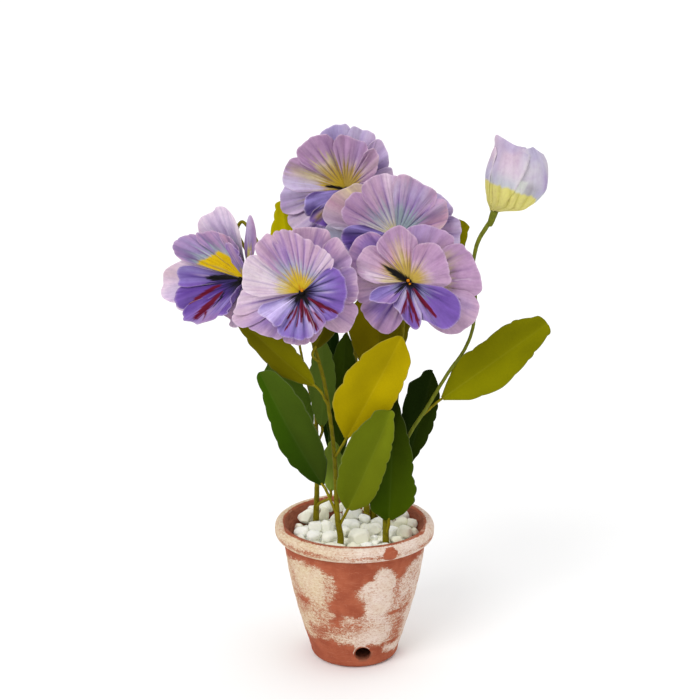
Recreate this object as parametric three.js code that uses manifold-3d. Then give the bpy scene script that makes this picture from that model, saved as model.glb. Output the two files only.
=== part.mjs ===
// A potted pansy made by hand: pleated petals and paper leaves on taped wire stems,
// standing in a lime-washed terracotta pot topped with white pebbles.
// Millimetres, +Z up. The origin is the middle of the pot's foot, on the surface it
// stands on, and -Y is the front.
import * as THREE from 'three';
import { mergeVertices } from 'three/addons/utils/BufferGeometryUtils.js';
import Module from 'manifold-3d';

const wasm = await Module();
wasm.setup();

// ---------------------------------------------------------------- driving dimensions
const GAP = 0.3;                 // clearance between pieces that touch
const FOOT_RADIUS = 31.6;        // pot, at the surface it stands on
const BODY_TOP_RADIUS = 51.3;    // pot, just under its rolled rim
const BODY_TOP_HEIGHT = 90;
const BODY_BELLY = 2.9;          // how far the side bulges past a straight taper
const FOOT_ROUNDING = 5;
const RIM_RADIUS = 57.5;
const RIM_HEIGHT = 101.6;
const WALL = 6;
const FLOOR_THICKNESS = 7;
const DRAIN_RADIUS = 6;          // hole through the front of the wall
const DRAIN_X = 6;
const DRAIN_HEIGHT = 11;
const PLUG_BOTTOM = 24;          // foam wedged in the taper of the pot
const PLUG_TOP = 82;
const STEM_FOOT = 52;            // how deep the wires are pushed into the foam
const BED_TOP = 86;              // the lower layer of pebbles, which the others lie on
const PEBBLE_RADIUS = 6.6;
const HEAP = 0.06;               // how much the pebbles rise towards the back
const STEM_RADIUS = 2.1;
const PETIOLE_RADIUS = 1.1;
const HUB_RADIUS = 3;            // taped knot at the throat of a flower
const PETAL_THICKNESS = 0.8;
const LEAF_THICKNESS = 0.8;
const WELD = 0.01;               // edges shorter than this are closed up after a union
const DEGREE = Math.PI / 180;

// ---------------------------------------------------------------- materials
function finish(color, roughness) {
  return new THREE.MeshStandardMaterial({ color, roughness, metalness: 0 });
}

const terracotta = finish(0xb98d76, 0.9);
const foam = finish(0x5f6b3f, 0.95);
const pebbleWhite = finish(0xe4e3d6, 0.3);
const stemTape = finish(0x6b6d1f, 0.75);
const petalBack = finish(0xc7a9cf, 0.8);
const petalFan = finish(0xb79bd6, 0.8);
const petalLip = finish(0x7d5fc4, 0.8);
const budPaper = finish(0xd5d3e0, 0.8);

// ---------------------------------------------------------------- solids
const group = new THREE.Group();

function addPiece(name, geometry, material) {
  const mesh = new THREE.Mesh(geometry, material);
  mesh.name = name;
  group.add(mesh);
}

function toSolid(geometry) {
  const bare = geometry.clone();
  bare.deleteAttribute('normal');
  bare.deleteAttribute('uv');
  const merged = mergeVertices(bare, 1e-4);
  return new wasm.Manifold(new wasm.Mesh({
    numProp: 3,
    vertProperties: new Float32Array(merged.attributes.position.array),
    triVerts: new Uint32Array(merged.index.array),
  }));
}

function toGeometry(solid) {
  const mesh = solid.simplify(WELD).getMesh();
  const geometry = new THREE.BufferGeometry();
  geometry.setAttribute('position', new THREE.BufferAttribute(mesh.vertProperties, 3));
  geometry.setIndex(new THREE.BufferAttribute(mesh.triVerts, 1));
  return geometry;
}

function union(solids) {
  return solids.reduce((whole, next) => whole.add(next));
}

// A closed body turned about +Z, from a profile of [radius, height] pairs.
function turned(profile, segments) {
  const points = profile.map(([radius, height]) => new THREE.Vector2(radius, height));
  return toSolid(new THREE.LatheGeometry(points, segments).rotateX(Math.PI / 2));
}

// A sheet of even thickness about the surface middle(across, along), both 0 to 1.
function sheet(middle, acrossSteps, alongSteps, thickness) {
  const columns = acrossSteps + 1;
  const rows = alongSteps + 1;
  const faces = [[], []];
  const small = 1e-3;
  for (let j = 0; j < rows; j += 1) {
    for (let i = 0; i < columns; i += 1) {
      const a = i / acrossSteps;
      const b = j / alongSteps;
      const point = middle(a, b);
      const alongA = middle(Math.min(a + small, 1), b).sub(middle(Math.max(a - small, 0), b));
      const alongB = middle(a, Math.min(b + small, 1)).sub(middle(a, Math.max(b - small, 0)));
      const normal = alongA.cross(alongB).normalize();
      faces[0].push(point.clone().addScaledVector(normal, thickness / 2));
      faces[1].push(point.clone().addScaledVector(normal, -thickness / 2));
    }
  }
  const corner = (side, i, j) => side * rows * columns + j * columns + i;
  const triangles = [];
  const quad = (a, b, c, d) => triangles.push(a, b, c, a, c, d);
  for (let j = 0; j < alongSteps; j += 1) {
    for (let i = 0; i < acrossSteps; i += 1) {
      quad(corner(0, i, j), corner(0, i + 1, j), corner(0, i + 1, j + 1), corner(0, i, j + 1));
      quad(corner(1, i, j), corner(1, i, j + 1), corner(1, i + 1, j + 1), corner(1, i + 1, j));
    }
  }
  for (let i = 0; i < acrossSteps; i += 1) {
    quad(corner(1, i, 0), corner(1, i + 1, 0), corner(0, i + 1, 0), corner(0, i, 0));
    quad(corner(0, i, alongSteps), corner(0, i + 1, alongSteps),
      corner(1, i + 1, alongSteps), corner(1, i, alongSteps));
  }
  for (let j = 0; j < alongSteps; j += 1) {
    quad(corner(0, 0, j), corner(0, 0, j + 1), corner(1, 0, j + 1), corner(1, 0, j));
    quad(corner(1, acrossSteps, j), corner(1, acrossSteps, j + 1),
      corner(0, acrossSteps, j + 1), corner(0, acrossSteps, j));
  }
  const geometry = new THREE.BufferGeometry();
  const flat = [...faces[0], ...faces[1]].flatMap((p) => [p.x, p.y, p.z]);
  geometry.setAttribute('position', new THREE.Float32BufferAttribute(flat, 3));
  geometry.setIndex(triangles);
  return geometry;
}

function curveThrough(points) {
  return new THREE.CatmullRomCurve3(points.map((p) => new THREE.Vector3(...p)), false, 'centripetal');
}

// A round bar along a smooth curve through the points.
function bar(points, radius, sides, stepLength) {
  const curve = curveThrough(points);
  const steps = Math.max(3, Math.round(curve.getLength() / stepLength));
  const section = [];
  for (let k = 0; k < sides; k += 1) {
    const angle = (k / sides) * 2 * Math.PI;
    section.push(new THREE.Vector2(radius * Math.cos(angle), radius * Math.sin(angle)));
  }
  return toSolid(new THREE.ExtrudeGeometry(new THREE.Shape(section), { steps, extrudePath: curve }));
}

// Values given at even steps, read smoothly in between.
function readSmooth(values, t) {
  const x = Math.min(Math.max(t, 0), 1) * (values.length - 1);
  const k = Math.min(Math.floor(x), values.length - 2);
  const f = x - k;
  const at = (n) => values[Math.min(Math.max(n, 0), values.length - 1)];
  const [p0, p1, p2, p3] = [at(k - 1), at(k), at(k + 1), at(k + 2)];
  return p1 + 0.5 * f * (p2 - p0 + f * (2 * p0 - 5 * p1 + 4 * p2 - p3 + f * (3 * (p1 - p2) + p3 - p0)));
}

// ---------------------------------------------------------------- pot
function bodyRadius(height) {
  const t = height / BODY_TOP_HEIGHT;
  return FOOT_RADIUS + (BODY_TOP_RADIUS - FOOT_RADIUS) * t + BODY_BELLY * 4 * t * (1 - t);
}

function wallInside(height) {
  return bodyRadius(height) - WALL;
}

function potProfile() {
  const profile = [[0, 0]];
  for (let k = 0; k <= 3; k += 1) {
    const angle = (k / 3) * 90 * DEGREE;
    profile.push([
      bodyRadius(FOOT_ROUNDING) - FOOT_ROUNDING * (1 - Math.sin(angle)),
      FOOT_ROUNDING * (1 - Math.cos(angle)),
    ]);
  }
  for (const height of [20, 36, 53, 70, BODY_TOP_HEIGHT]) {
    profile.push([bodyRadius(height), height]);
  }
  profile.push([RIM_RADIUS - 2.2, BODY_TOP_HEIGHT + 0.6], [RIM_RADIUS - 0.4, 93.5], [RIM_RADIUS, 97.5]);
  profile.push([RIM_RADIUS - 1.5, 100.4], [RIM_RADIUS - 4, RIM_HEIGHT], [51.5, 101], [50, 99.3]);
  for (const height of [88, 66, 44, 20, FLOOR_THICKNESS]) {
    profile.push([wallInside(height), height]);
  }
  profile.push([0, FLOOR_THICKNESS]);
  return profile;
}

const drain = toSolid(new THREE.CylinderGeometry(DRAIN_RADIUS, DRAIN_RADIUS, 2.2 * WALL, 20));
const drilledWall = drain.translate([DRAIN_X, -bodyRadius(DRAIN_HEIGHT) + WALL / 2, DRAIN_HEIGHT]);
addPiece('pot', toGeometry(turned(potProfile(), 36).subtract(drilledWall)), terracotta);

// ---------------------------------------------------------------- flowers
// Each flower has its throat at `at` and looks along `facing`. A petal fans out from
// the throat between two angles, seen from the front, anticlockwise from the right.
// `reach` is its radius at even steps of that angle, `level` its place along the
// axis at the throat, and `tilt` how far it leans forward, in degrees, at either end.
const flowers = {
  left: {
    at: [-78, 0, 277],
    facing: [-0.655, -0.727, 0.208],
    petals: {
      back_upper: { from: 72, to: 144, level: -3.8, tilt: [19, 19], reach: [27, 38, 46, 47, 46, 40] },
      back_right: { from: -50, to: 72, level: -5.2, tilt: [12, 14], reach: [22, 28, 30, 36, 42, 45, 36] },
      back_lower: { from: 148, to: 300, level: -5.2, tilt: [20, 14], reach: [40, 50, 58, 50, 41, 35, 30, 28] },
      fan_upper: { from: 75, to: 164, level: -2.4, tilt: [28, 30], reach: [23, 32, 38, 43, 45, 44] },
      fan_right: { from: -8, to: 84, level: -1, tilt: [44, 40], reach: [16, 20, 24, 25, 20] },
      lip: { from: 167, to: 345, level: 0.4, tilt: [31, 48], reach: [35, 40, 41, 39, 36, 30, 25, 24, 22, 17] },
    },
  },
  front: {
    at: [-35, -52, 279],
    facing: [0.033, -0.977, 0.211],
    petals: {
      back_upper: { from: -58, to: 108, level: -3.8, tilt: [3, 5], reach: [30, 39, 39, 37, 37, 38, 40, 43, 43, 42, 38] },
      back_lower: { from: 172, to: 308, level: -5.2, tilt: [1, 1], reach: [38, 42, 48, 40, 36, 34, 34, 34, 30, 24] },
      fan_left: { from: 134, to: 186, level: -2.4, tilt: [18, 18], reach: [35, 41, 41, 39, 38, 33] },
      fan_top: { from: 38, to: 141, level: -1, tilt: [21, 20], reach: [30, 30, 31, 33, 36, 41, 43, 43, 40] },
      lip: { from: 196, to: 404, level: 0.4, tilt: [24, 26], reach: [32, 29, 27, 30, 30, 30, 29, 26, 26, 28, 29, 29, 29, 28, 26] },
    },
  },
  right: {
    at: [36, -32, 282],
    facing: [-0.039, -0.978, 0.204],
    petals: {
      back_left: { from: 118, to: 262, level: -5.2, tilt: [1, 1], reach: [38, 44, 45, 40, 36, 36, 37, 38, 38, 30] },
      back_right: { from: -64, to: 100, level: -3.8, tilt: [3, 3], reach: [36, 46, 52, 51, 49, 48, 45, 41, 40, 38, 34] },
      fan_left: { from: 72, to: 184, level: -2.4, tilt: [20, 18], reach: [25, 31, 37, 36, 34, 36, 37, 34, 27] },
      fan_right: { from: -14, to: 84, level: -1, tilt: [22, 22], reach: [22, 27, 27, 28, 30, 30, 27, 25] },
      lip: { from: 190, to: 352, level: 0.4, tilt: [26, 26], reach: [25, 27, 21, 19, 20, 25, 31, 28, 34, 41, 39, 29] },
    },
  },
  middle: {
    at: [29, 8, 305],
    facing: [-0.031, -0.984, 0.175],
    petals: {
      back_left: { from: 118, to: 262, level: -5.2, tilt: [0, 0], reach: [44, 48, 53, 53, 46, 40, 39, 38, 36, 32] },
      back_right: { from: -80, to: 62, level: -3.8, tilt: [2, 2], reach: [34, 37, 38, 39, 42, 44, 43, 41, 38] },
      fan_left: { from: 80, to: 170, level: -2.4, tilt: [17, 17], reach: [38, 42, 44, 42, 42, 41, 36] },
      fan_right: { from: 4, to: 96, level: -1, tilt: [19, 19], reach: [26, 36, 40, 40, 40, 42, 42] },
      lip: { from: 160, to: 354, level: 0.4, tilt: [22, 18], reach: [30, 37, 35, 29, 27, 27, 26, 26, 26, 26, 30, 32, 27] },
    },
  },
  top: {
    at: [-6, 36, 334],
    facing: [0.003, -0.99, 0.143],
    petals: {
      back_upper: { from: 10, to: 122, level: -3.8, tilt: [3, 3], reach: [30, 33, 39, 42, 43, 45, 44, 40] },
      back_lower: { from: 168, to: 350, level: -5.2, tilt: [1, 1], reach: [40, 45, 45, 43, 41, 39, 37, 36, 36, 34, 30] },
      fan_left: { from: 100, to: 184, level: -2.4, tilt: [18, 18], reach: [36, 41, 43, 43, 44, 44, 41] },
      fan_right: { from: 20, to: 108, level: -1, tilt: [21, 20], reach: [20, 26, 33, 34, 35, 37, 36] },
      lip: { from: 188, to: 352, level: 0.4, tilt: [24, 24], reach: [27, 31, 33, 30, 28, 32, 33, 30, 28, 31, 25] },
    },
  },
};

const HUB_START = HUB_RADIUS + GAP;
const CLAW = 0.12;               // how much narrower a petal is at its claw
const RIM_LIFT = 2;              // forward flare of the petal's edge

function flowerAxes(facing) {
  const out = new THREE.Vector3(...facing).normalize();
  const right = new THREE.Vector3(0, 0, 1).cross(out).normalize();
  return { out, right, up: out.clone().cross(right) };
}

function petalSurface(flower, petal) {
  const { out, right, up } = flowerAxes(flower.facing);
  return (across, along) => {
    const reach = readSmooth(petal.reach, across);
    const radius = HUB_START + (reach - HUB_START) * along;
    const fromMiddle = (across - 0.5) * (petal.to - petal.from) * (1 - CLAW * (1 - along) ** 2);
    const angle = ((petal.from + petal.to) / 2 + fromMiddle) * DEGREE;
    const tilt = petal.tilt[0] + (petal.tilt[1] - petal.tilt[0]) * across;
    const forward = petal.level + (radius - HUB_START) * Math.tan(tilt * DEGREE) + RIM_LIFT * along ** 3;
    return new THREE.Vector3(...flower.at)
      .addScaledVector(right, radius * Math.cos(angle))
      .addScaledVector(up, radius * Math.sin(angle))
      .addScaledVector(out, forward);
  };
}

const petalMaterials = { back: petalBack, fan: petalFan, lip: petalLip };
for (const [place, flower] of Object.entries(flowers)) {
  for (const [name, petal] of Object.entries(flower.petals)) {
    const steps = Math.max(5, Math.round((petal.to - petal.from) / 14));
    const geometry = sheet(petalSurface(flower, petal), steps, 4, PETAL_THICKNESS);
    addPiece(`${place}_flower_${name}`, geometry, petalMaterials[name.split('_')[0]]);
  }
}

// A taped knot turned about a flower's axis, from [radius, place along it] pairs.
function knot(flower, profile) {
  const shape = new THREE.LatheGeometry(profile.map(([r, z]) => new THREE.Vector2(r, z)), 8);
  const { out } = flowerAxes(flower.facing);
  shape.applyQuaternion(new THREE.Quaternion().setFromUnitVectors(new THREE.Vector3(0, 1, 0), out));
  return toSolid(shape.translate(...flower.at));
}

function hub(flower) {
  const flare = [[0, -13], [STEM_RADIUS, -13], [STEM_RADIUS + 0.3, -10], [4.6, -7.6], [4.6, -6.4]];
  const throat = [[HUB_RADIUS, -6.2], [HUB_RADIUS, 1], [HUB_RADIUS * 0.6, 1.8], [0, 2]];
  return knot(flower, [...flare, ...throat]);
}

// Two points on the flower's axis behind its throat, where its stem comes in.
function intoHub(flower) {
  const { out } = flowerAxes(flower.facing);
  return [-18, -10].map((depth) => new THREE.Vector3(...flower.at).addScaledVector(out, depth).toArray());
}

// ---------------------------------------------------------------- bud
// Three petals wrapped round each other into a cup, on a knot at the end of the wire.
const bud = { at: [96, 5, 325], facing: [0.31, 0, 0.95] };
const BUD_MOUTH = 20;            // radius of the cup at its widest
const BUD_PIN = 1.6;             // the wire's end, inside the petals
const budPetals = {
  bud_petal_front: { from: 150, to: 340, height: [38, 45, 49, 43, 40, 34], layer: 0 },
  bud_petal_back: { from: -40, to: 176, height: [38, 42, 45, 47, 46, 38], layer: 1 },
  bud_petal_inner: { from: 20, to: 300, height: [33, 37, 40, 38, 35, 32], layer: 2.8 },
};

function budSurface(petal) {
  const { out, right, up } = flowerAxes(bud.facing);
  const start = BUD_PIN + 3 - petal.layer;
  const mouth = BUD_MOUTH - 1.6 * petal.layer;
  const angleAt = (across) => (petal.from + (petal.to - petal.from) * across) * DEGREE;
  return (across, along) => {
    const radius = start + (mouth - start) * Math.sin(along * 100 * DEGREE) ** 0.8;
    const height = 0.8 + 1.3 * petal.layer + readSmooth(petal.height, across) * along;
    return new THREE.Vector3(...bud.at)
      .addScaledVector(right, radius * Math.cos(angleAt(across)))
      .addScaledVector(up, radius * Math.sin(angleAt(across)))
      .addScaledVector(out, height);
  };
}

for (const [name, petal] of Object.entries(budPetals)) {
  addPiece(name, sheet(budSurface(petal), 10, 4, PETAL_THICKNESS), budPaper);
}

// ---------------------------------------------------------------- leaves
// `base` is where the leaf meets its stalk and `tip` its end. `half` is the widest
// half-width, at `belly` along it; `fold` is the crease at the midrib and `roll`
// turns the blade about it, in degrees; `bow` lifts the middle towards `facing`.
const leaves = {
  olive_large_left: { base: [-27, -40, 212], tip: [-80, -28, 259], half: 14.5, belly: 0.45, fold: 14, roll: -24, bow: 3, color: 0x6f6a00 },
  olive_small: { base: [-27, -37, 237], tip: [-17, -30, 258], half: 8, belly: 0.5, fold: 10, roll: 0, bow: 1, color: 0x665f00 },
  olive_behind_right_flower: { base: [16, 2, 198], tip: [17, 4, 268], half: 21, belly: 0.6, fold: 8, roll: 0, bow: 2, color: 0x5c5500 },
  yellow: { base: [-6, -38, 174], tip: [31, -46, 248], half: 20, belly: 0.5, fold: 10, roll: 12, bow: 3, color: 0xa89300 },
  dark_large_left: { base: [-22, -30, 138], tip: [-64, -44, 223], half: 17, belly: 0.45, fold: 14, roll: -16, bow: 4, color: 0x2c4a08 },
  mid_green_left: { base: [-29, -12, 176], tip: [-60, -20, 222], half: 12, belly: 0.5, fold: 8, roll: 0, bow: 2, color: 0x405c12 },
  bright_green: { base: [-23, -6, 172], tip: [-22, -14, 238], half: 8.5, belly: 0.45, fold: 8, roll: 0, bow: 2, color: 0x4f6c18 },
  very_dark_left: { base: [-18, 11, 148], tip: [-17, 12, 247], half: 8.5, belly: 0.5, fold: 8, roll: 0, bow: 2, color: 0x0f2106 },
  very_dark_middle: { base: [-13, 2, 142], tip: [-6, 3, 239], half: 10.5, belly: 0.45, fold: 8, roll: 0, bow: 2, color: 0x20360a },
  light_green_front: { base: [-5, -25, 118], tip: [24, -56, 200], half: 17, belly: 0.42, fold: 12, roll: 14, bow: 3, color: 0x647411 },
  dark_front_right: { base: [24, -20, 108], tip: [27, -33, 203], half: 18, belly: 0.34, fold: 10, roll: 0, bow: 3, color: 0x2c4504 },
  very_dark_right: { base: [35, -8, 140], tip: [54, -9, 215], half: 15, belly: 0.55, fold: 10, roll: 10, bow: 3, color: 0x172a07 },
  olive_far_right: { base: [60, -16, 196], tip: [133, -4, 247], half: 17.5, belly: 0.52, fold: 8, roll: 0, bow: 4, color: 0x777400 },
  light_green_low: { base: [-17, -8, 125], tip: [-15, -14, 166], half: 6.5, belly: 0.45, fold: 6, roll: 0, bow: 1, color: 0x5d7417 },
  yellow_green_high: { base: [-44, 28, 264], tip: [-52, 48, 324], half: 12, belly: 0.4, fold: 12, roll: 0, bow: 2, color: 0xaaa305 },
  dark_olive_high: { base: [-24, 40, 268], tip: [-33, 58, 323], half: 9, belly: 0.45, fold: 10, roll: 0, bow: 2, color: 0x475200 },
  olive_high_right: { base: [54, 25, 259], tip: [75, 32, 313], half: 9.5, belly: 0.5, fold: 10, roll: 0, bow: 2, color: 0x6f6d00 },
};

const LEAF_FACING = [0, -0.96, 0.28];
const STALK_HALF = 1.2;          // half-width of a leaf where it meets its stalk

// 0 at both ends and 1 at `belly`, blunter at the tip than at the base.
function leafShape(along, belly) {
  const [baseward, tipward] = [1.7 * belly, 1.2 * (1 - belly)];
  return (along / belly) ** baseward * ((1 - along) / (1 - belly)) ** tipward;
}

function leafAxes(leaf) {
  const base = new THREE.Vector3(...leaf.base);
  const tip = new THREE.Vector3(...leaf.tip);
  const along = tip.clone().sub(base).normalize();
  const side = along.clone().cross(new THREE.Vector3(...LEAF_FACING)).normalize();
  side.applyAxisAngle(along, leaf.roll * DEGREE);
  return { base, tip, along, side, face: side.clone().cross(along) };
}

function leafSurface(leaf) {
  const { base, tip, along, side, face } = leafAxes(leaf);
  const start = (2 * GAP) / tip.distanceTo(base);
  return (across, lengthwise) => {
    const s = start + (1 - start) * lengthwise;
    const t = 2 * across - 1;
    const belly = Math.max(leafShape(Math.min(s, 0.999), leaf.belly) * leaf.half, 0);
    const half = Math.max(belly, STALK_HALF);
    return base.clone()
      .addScaledVector(along, s * tip.distanceTo(base))
      .addScaledVector(side, half * t * Math.cos(leaf.fold * DEGREE))
      .addScaledVector(face, half * Math.abs(t) * Math.sin(leaf.fold * DEGREE))
      .addScaledVector(face, leaf.bow * 4 * s * (1 - s));
  };
}

for (const [name, leaf] of Object.entries(leaves)) {
  const paper = finish(leaf.color, 0.85);
  addPiece(`leaf_${name}`, sheet(leafSurface(leaf), 4, 8, LEAF_THICKNESS), paper);
}

// The first point of a stem's route at that height.
function atHeight(route, height) {
  const points = curveThrough(route).getPoints(200);
  return points.find((p) => p.z >= height).toArray();
}

// A thin stalk from a stem to a leaf, which comes in along the leaf's own midrib.
function stalk(stemRoute, [leafName, height, ...via]) {
  const route = [atHeight(stemRoute, height), ...via];
  const leaf = leaves[leafName];
  const { base, along, face, tip } = leafAxes(leaf);
  const lift = (4 * leaf.bow) / tip.distanceTo(base);
  const heading = along.clone().addScaledVector(face, lift).normalize();
  const lead = base.clone().addScaledVector(heading, -4).toArray();
  return bar([...route, lead, base.toArray()], PETIOLE_RADIUS, 5, 10);
}

// ---------------------------------------------------------------- stems
// Each stem is a wire wrapped in tape, straight in the foam and free above it. Its
// leaf stalks and its flower's knot are wrapped in the same tape, so they are one.
// A stalk is its leaf, the height where it leaves the stem, and points on its way.
const stems = {
  left: {
    foot: [-28, 14],
    route: [[-28, 14, 96], [-27, 6, 126], [-27, -5, 176], [-28, -10, 231], [-40, -6, 262], [-57, 4, 286],
      [-69, 16, 302], [-74, 22, 312], [-80, 27, 316], [-82, 29, 308], [-76, 26, 292]],
    flower: flowers.left,
    stalks: [
      ['bright_green', 158],
      ['mid_green_left', 160],
      ['light_green_low', 106, [-25, 5, 112]],
      ['yellow_green_high', 180, [-33, -3, 204], [-40, 8, 237]],
    ],
  },
  front: {
    foot: [-10, -19],
    route: [[-10, -19, 96], [-12, -22, 110], [-13, -26, 135], [-14, -31, 160], [-17, -34, 189],
      [-21, -33, 214], [-27, -30, 236], [-33, -27, 258], [-35, -28, 270]],
    flower: flowers.front,
    stalks: [
      ['olive_large_left', 196],
      ['olive_small', 226],
      ['yellow', 158],
      ['dark_large_left', 112],
      ['light_green_front', 103],
    ],
  },
  right: {
    foot: [22, -17],
    route: [[22, -17, 96], [22, -13, 112], [25, -13, 145], [29, -18, 198], [32, -18, 236],
      [34, -13, 262], [36, -9, 274]],
    flower: flowers.right,
    stalks: [['dark_front_right', 95]],
  },
  back_left: {
    foot: [9, 30],
    route: [[9, 30, 96], [6, 31, 150], [1, 33, 210], [-4, 40, 270], [-6, 48, 310], [-6, 52, 326]],
    flower: flowers.top,
    stalks: [
      ['very_dark_left', 118, [-6, 23, 130]],
      ['very_dark_middle', 104, [-2, 18, 122]],
      ['dark_olive_high', 214, [-10, 36, 240]],
    ],
  },
  back_right: {
    foot: [14, 33],
    route: [[14, 33, 96], [19, 33, 150], [25, 29, 220], [29, 27, 275], [29, 26, 295]],
    flower: flowers.middle,
    stalks: [
      ['olive_behind_right_flower', 150, [18, 18, 176]],
      ['olive_high_right', 205, [38, 27, 236]],
    ],
  },
};

// The bud's own wire is wrapped in with the right stem low down and leaves it there.
const budWire = {
  route: [[23.5, -13, 130], [30, -16.5, 150], [38, -20, 172], [49, -20, 190], [65, -16, 216],
    [75, -11, 229], [81, -7, 243], [83, -3, 265], [81, 0, 284], [84, 2, 302], [89, 4, 311], [93.6, 5, 317.6]],
  stalks: [
    ['very_dark_right', 140],
    ['olive_far_right', 184],
  ],
};

function stemSolid({ foot, route, flower, stalks }) {
  const inFoam = [STEM_FOOT, 80, 90].map((height) => [...foot, height]);
  const wire = bar([...inFoam, ...route, ...intoHub(flower)], STEM_RADIUS, 8, 13);
  return union([wire, hub(flower), ...stalks.map((entry) => stalk(route, entry))]);
}

const budWireSolid = union([
  bar(budWire.route, STEM_RADIUS - GAP, 7, 13),
  knot(bud, [[0, -9], [1.8, -9], [2.5, -5], [3.2, -0.5], [3.2, 0], [BUD_PIN, 0.2], [BUD_PIN, 4], [0, 4.6]]),
  ...budWire.stalks.map((entry) => stalk(budWire.route, entry)),
]);

for (const [name, stem] of Object.entries(stems)) {
  const solid = stemSolid(stem);
  addPiece(`stem_${name}`, toGeometry(name === 'right' ? solid.add(budWireSolid) : solid), stemTape);
}

// ---------------------------------------------------------------- foam and pebbles
function clearanceFor(stem) {
  const radius = STEM_RADIUS + GAP;
  const length = BED_TOP + 14 - STEM_FOOT + 2 * GAP;
  const hole = new THREE.CylinderGeometry(radius, radius, length, 12).rotateX(Math.PI / 2);
  return toSolid(hole.translate(...stem.foot, STEM_FOOT - 2 * GAP + length / 2));
}

const stemHoles = union(Object.values(stems).map(clearanceFor));
const foamProfile = [[0, PLUG_BOTTOM]];
for (const height of [PLUG_BOTTOM, 44, 66, PLUG_TOP]) {
  foamProfile.push([wallInside(height) - GAP - 0.2, height]);
}
foamProfile.push([0, PLUG_TOP]);
addPiece('foam_plug', toGeometry(turned(foamProfile, 32).subtract(stemHoles)), foam);

function pebble(x, y, z, length, width, height, turn, grow = 0) {
  const stone = new THREE.SphereGeometry(1, 7, 4);
  stone.scale(length / 2 + grow, width / 2 + grow, height / 2 + grow);
  stone.rotateX(Math.PI / 2);
  stone.scale(1, (width / 2 + grow) / (height / 2 + grow), (height / 2 + grow) / (width / 2 + grow));
  return stone.rotateZ(turn * DEGREE).translate(x, y, z);
}

// Six loose stones on top, as [x, y, z, length, width, height, turn].
const loosePebbles = [
  [3, -8, 91, 17, 14, 11, 5],
  [14.5, 4, 92, 9, 8, 8, -20],
  [35, -1, 91.5, 12.5, 11, 10, 30],
  [-29, 5, 92.5, 9.5, 9, 9, 10],
  [-33.5, 23, 94, 10, 10, 10, 40],
  [41, 11, 93, 8, 8, 9, 0],
];
loosePebbles.forEach((stone, k) => {
  addPiece(`pebble_${k + 1}`, pebble(...stone), pebbleWhite);
});

function pebbleBed() {
  const layer = turned([[0, PLUG_TOP + GAP], [43.8, PLUG_TOP + GAP], [44, BED_TOP - 0.5], [0, BED_TOP - 0.5]], 32);
  const stones = [layer];
  for (const [ring, count, start] of [[0, 1, 0], [14, 6, 10], [27, 11, 0], [37.4, 14, 6]]) {
    for (let k = 0; k < count; k += 1) {
      const angle = (start + (k * 360) / count) * DEGREE;
      const x = ring * Math.cos(angle);
      const y = ring * Math.sin(angle);
      const size = PEBBLE_RADIUS * (1 + 0.08 * Math.sin(5 * k + ring));
      stones.push(toSolid(pebble(x, y, BED_TOP + 0.6 + HEAP * Math.max(y, 0), 1.9 * size, 1.6 * size, 8.4, 37 * k)));
    }
  }
  const cut = loosePebbles.map((stone) => toSolid(pebble(...stone, GAP + 0.1)));
  return union(stones).subtract(union(cut)).subtract(stemHoles);
}

addPiece('pebble_bed', toGeometry(pebbleBed()), pebbleWhite);

export default group;
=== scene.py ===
# %% [markdown]
# # Pansies of pleated paper in a lime-washed clay pot
#
# The real thing is made by hand: petals of finely gathered paper are bound to wires with floral
# tape, flat leaves are cut from coloured card with a scalloped edge, and the wires stand in a clay
# pot under white pebbles. This lesson builds each of them as a surface worked out with numpy,
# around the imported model, in millimetres that are turned to metres only where a mesh is made.

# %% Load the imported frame
import math

import bmesh
import bpy
import numpy as np
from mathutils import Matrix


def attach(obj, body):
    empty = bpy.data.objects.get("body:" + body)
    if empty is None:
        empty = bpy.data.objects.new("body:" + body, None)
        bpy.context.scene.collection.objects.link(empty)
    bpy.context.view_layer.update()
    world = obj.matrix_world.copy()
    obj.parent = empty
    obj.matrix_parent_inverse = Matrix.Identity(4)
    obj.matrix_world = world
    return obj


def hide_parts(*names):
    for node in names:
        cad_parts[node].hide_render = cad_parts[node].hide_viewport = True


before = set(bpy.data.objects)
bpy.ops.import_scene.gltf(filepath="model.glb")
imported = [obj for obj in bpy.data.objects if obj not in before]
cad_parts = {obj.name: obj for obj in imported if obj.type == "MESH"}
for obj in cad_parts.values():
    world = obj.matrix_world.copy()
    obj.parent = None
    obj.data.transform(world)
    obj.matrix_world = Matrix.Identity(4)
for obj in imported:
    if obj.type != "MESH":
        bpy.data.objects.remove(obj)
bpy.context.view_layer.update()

# %% [markdown]
# ## Camera
#
# The photograph looks down at the pot by about 14 degrees from a metre away. The ellipses of the
# rim and of the foot give that angle and distance, and their widths give the lens. A long lens this
# near keeps the rim's ellipse as open as it is in the picture.

# %% Place the camera
MM = 0.001
CAMERA_AT = (-3.3, -1000.0, 484.0)
CAMERA_DOWN = 14.42  # degrees below level
FOCAL_PIXELS = 1483.0  # at a picture 700 pixels wide
PICTURE_WIDTH = 700.0
SENSOR_WIDTH = 36.0

camera_data = bpy.data.cameras.new("camera")
camera_data.sensor_width = SENSOR_WIDTH
camera_data.lens = SENSOR_WIDTH * FOCAL_PIXELS / PICTURE_WIDTH
camera = bpy.data.objects.new("camera", camera_data)
camera.location = [x * MM for x in CAMERA_AT]
camera.rotation_euler = (math.radians(90 - CAMERA_DOWN), 0, 0)
bpy.context.scene.collection.objects.link(camera)
bpy.context.scene.camera = camera
print("lens:", round(camera_data.lens, 2), "mm")

# %% [markdown]
# ## Floor and light
#
# The picture was taken on white in even daylight, so the floor is a wide pale sheet, the world
# gives soft light from all round, and one large lamp from the upper left gives the folds their
# shape. The plain view transform keeps the paper's own colours.

# %% Lay the floor and hang the lamps
FLOOR_HALF = 40.0  # metres, far past what the camera sees
FLOOR_GREY = (0.96, 0.96, 0.96, 1)
DAYLIGHT = 0.8


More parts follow.
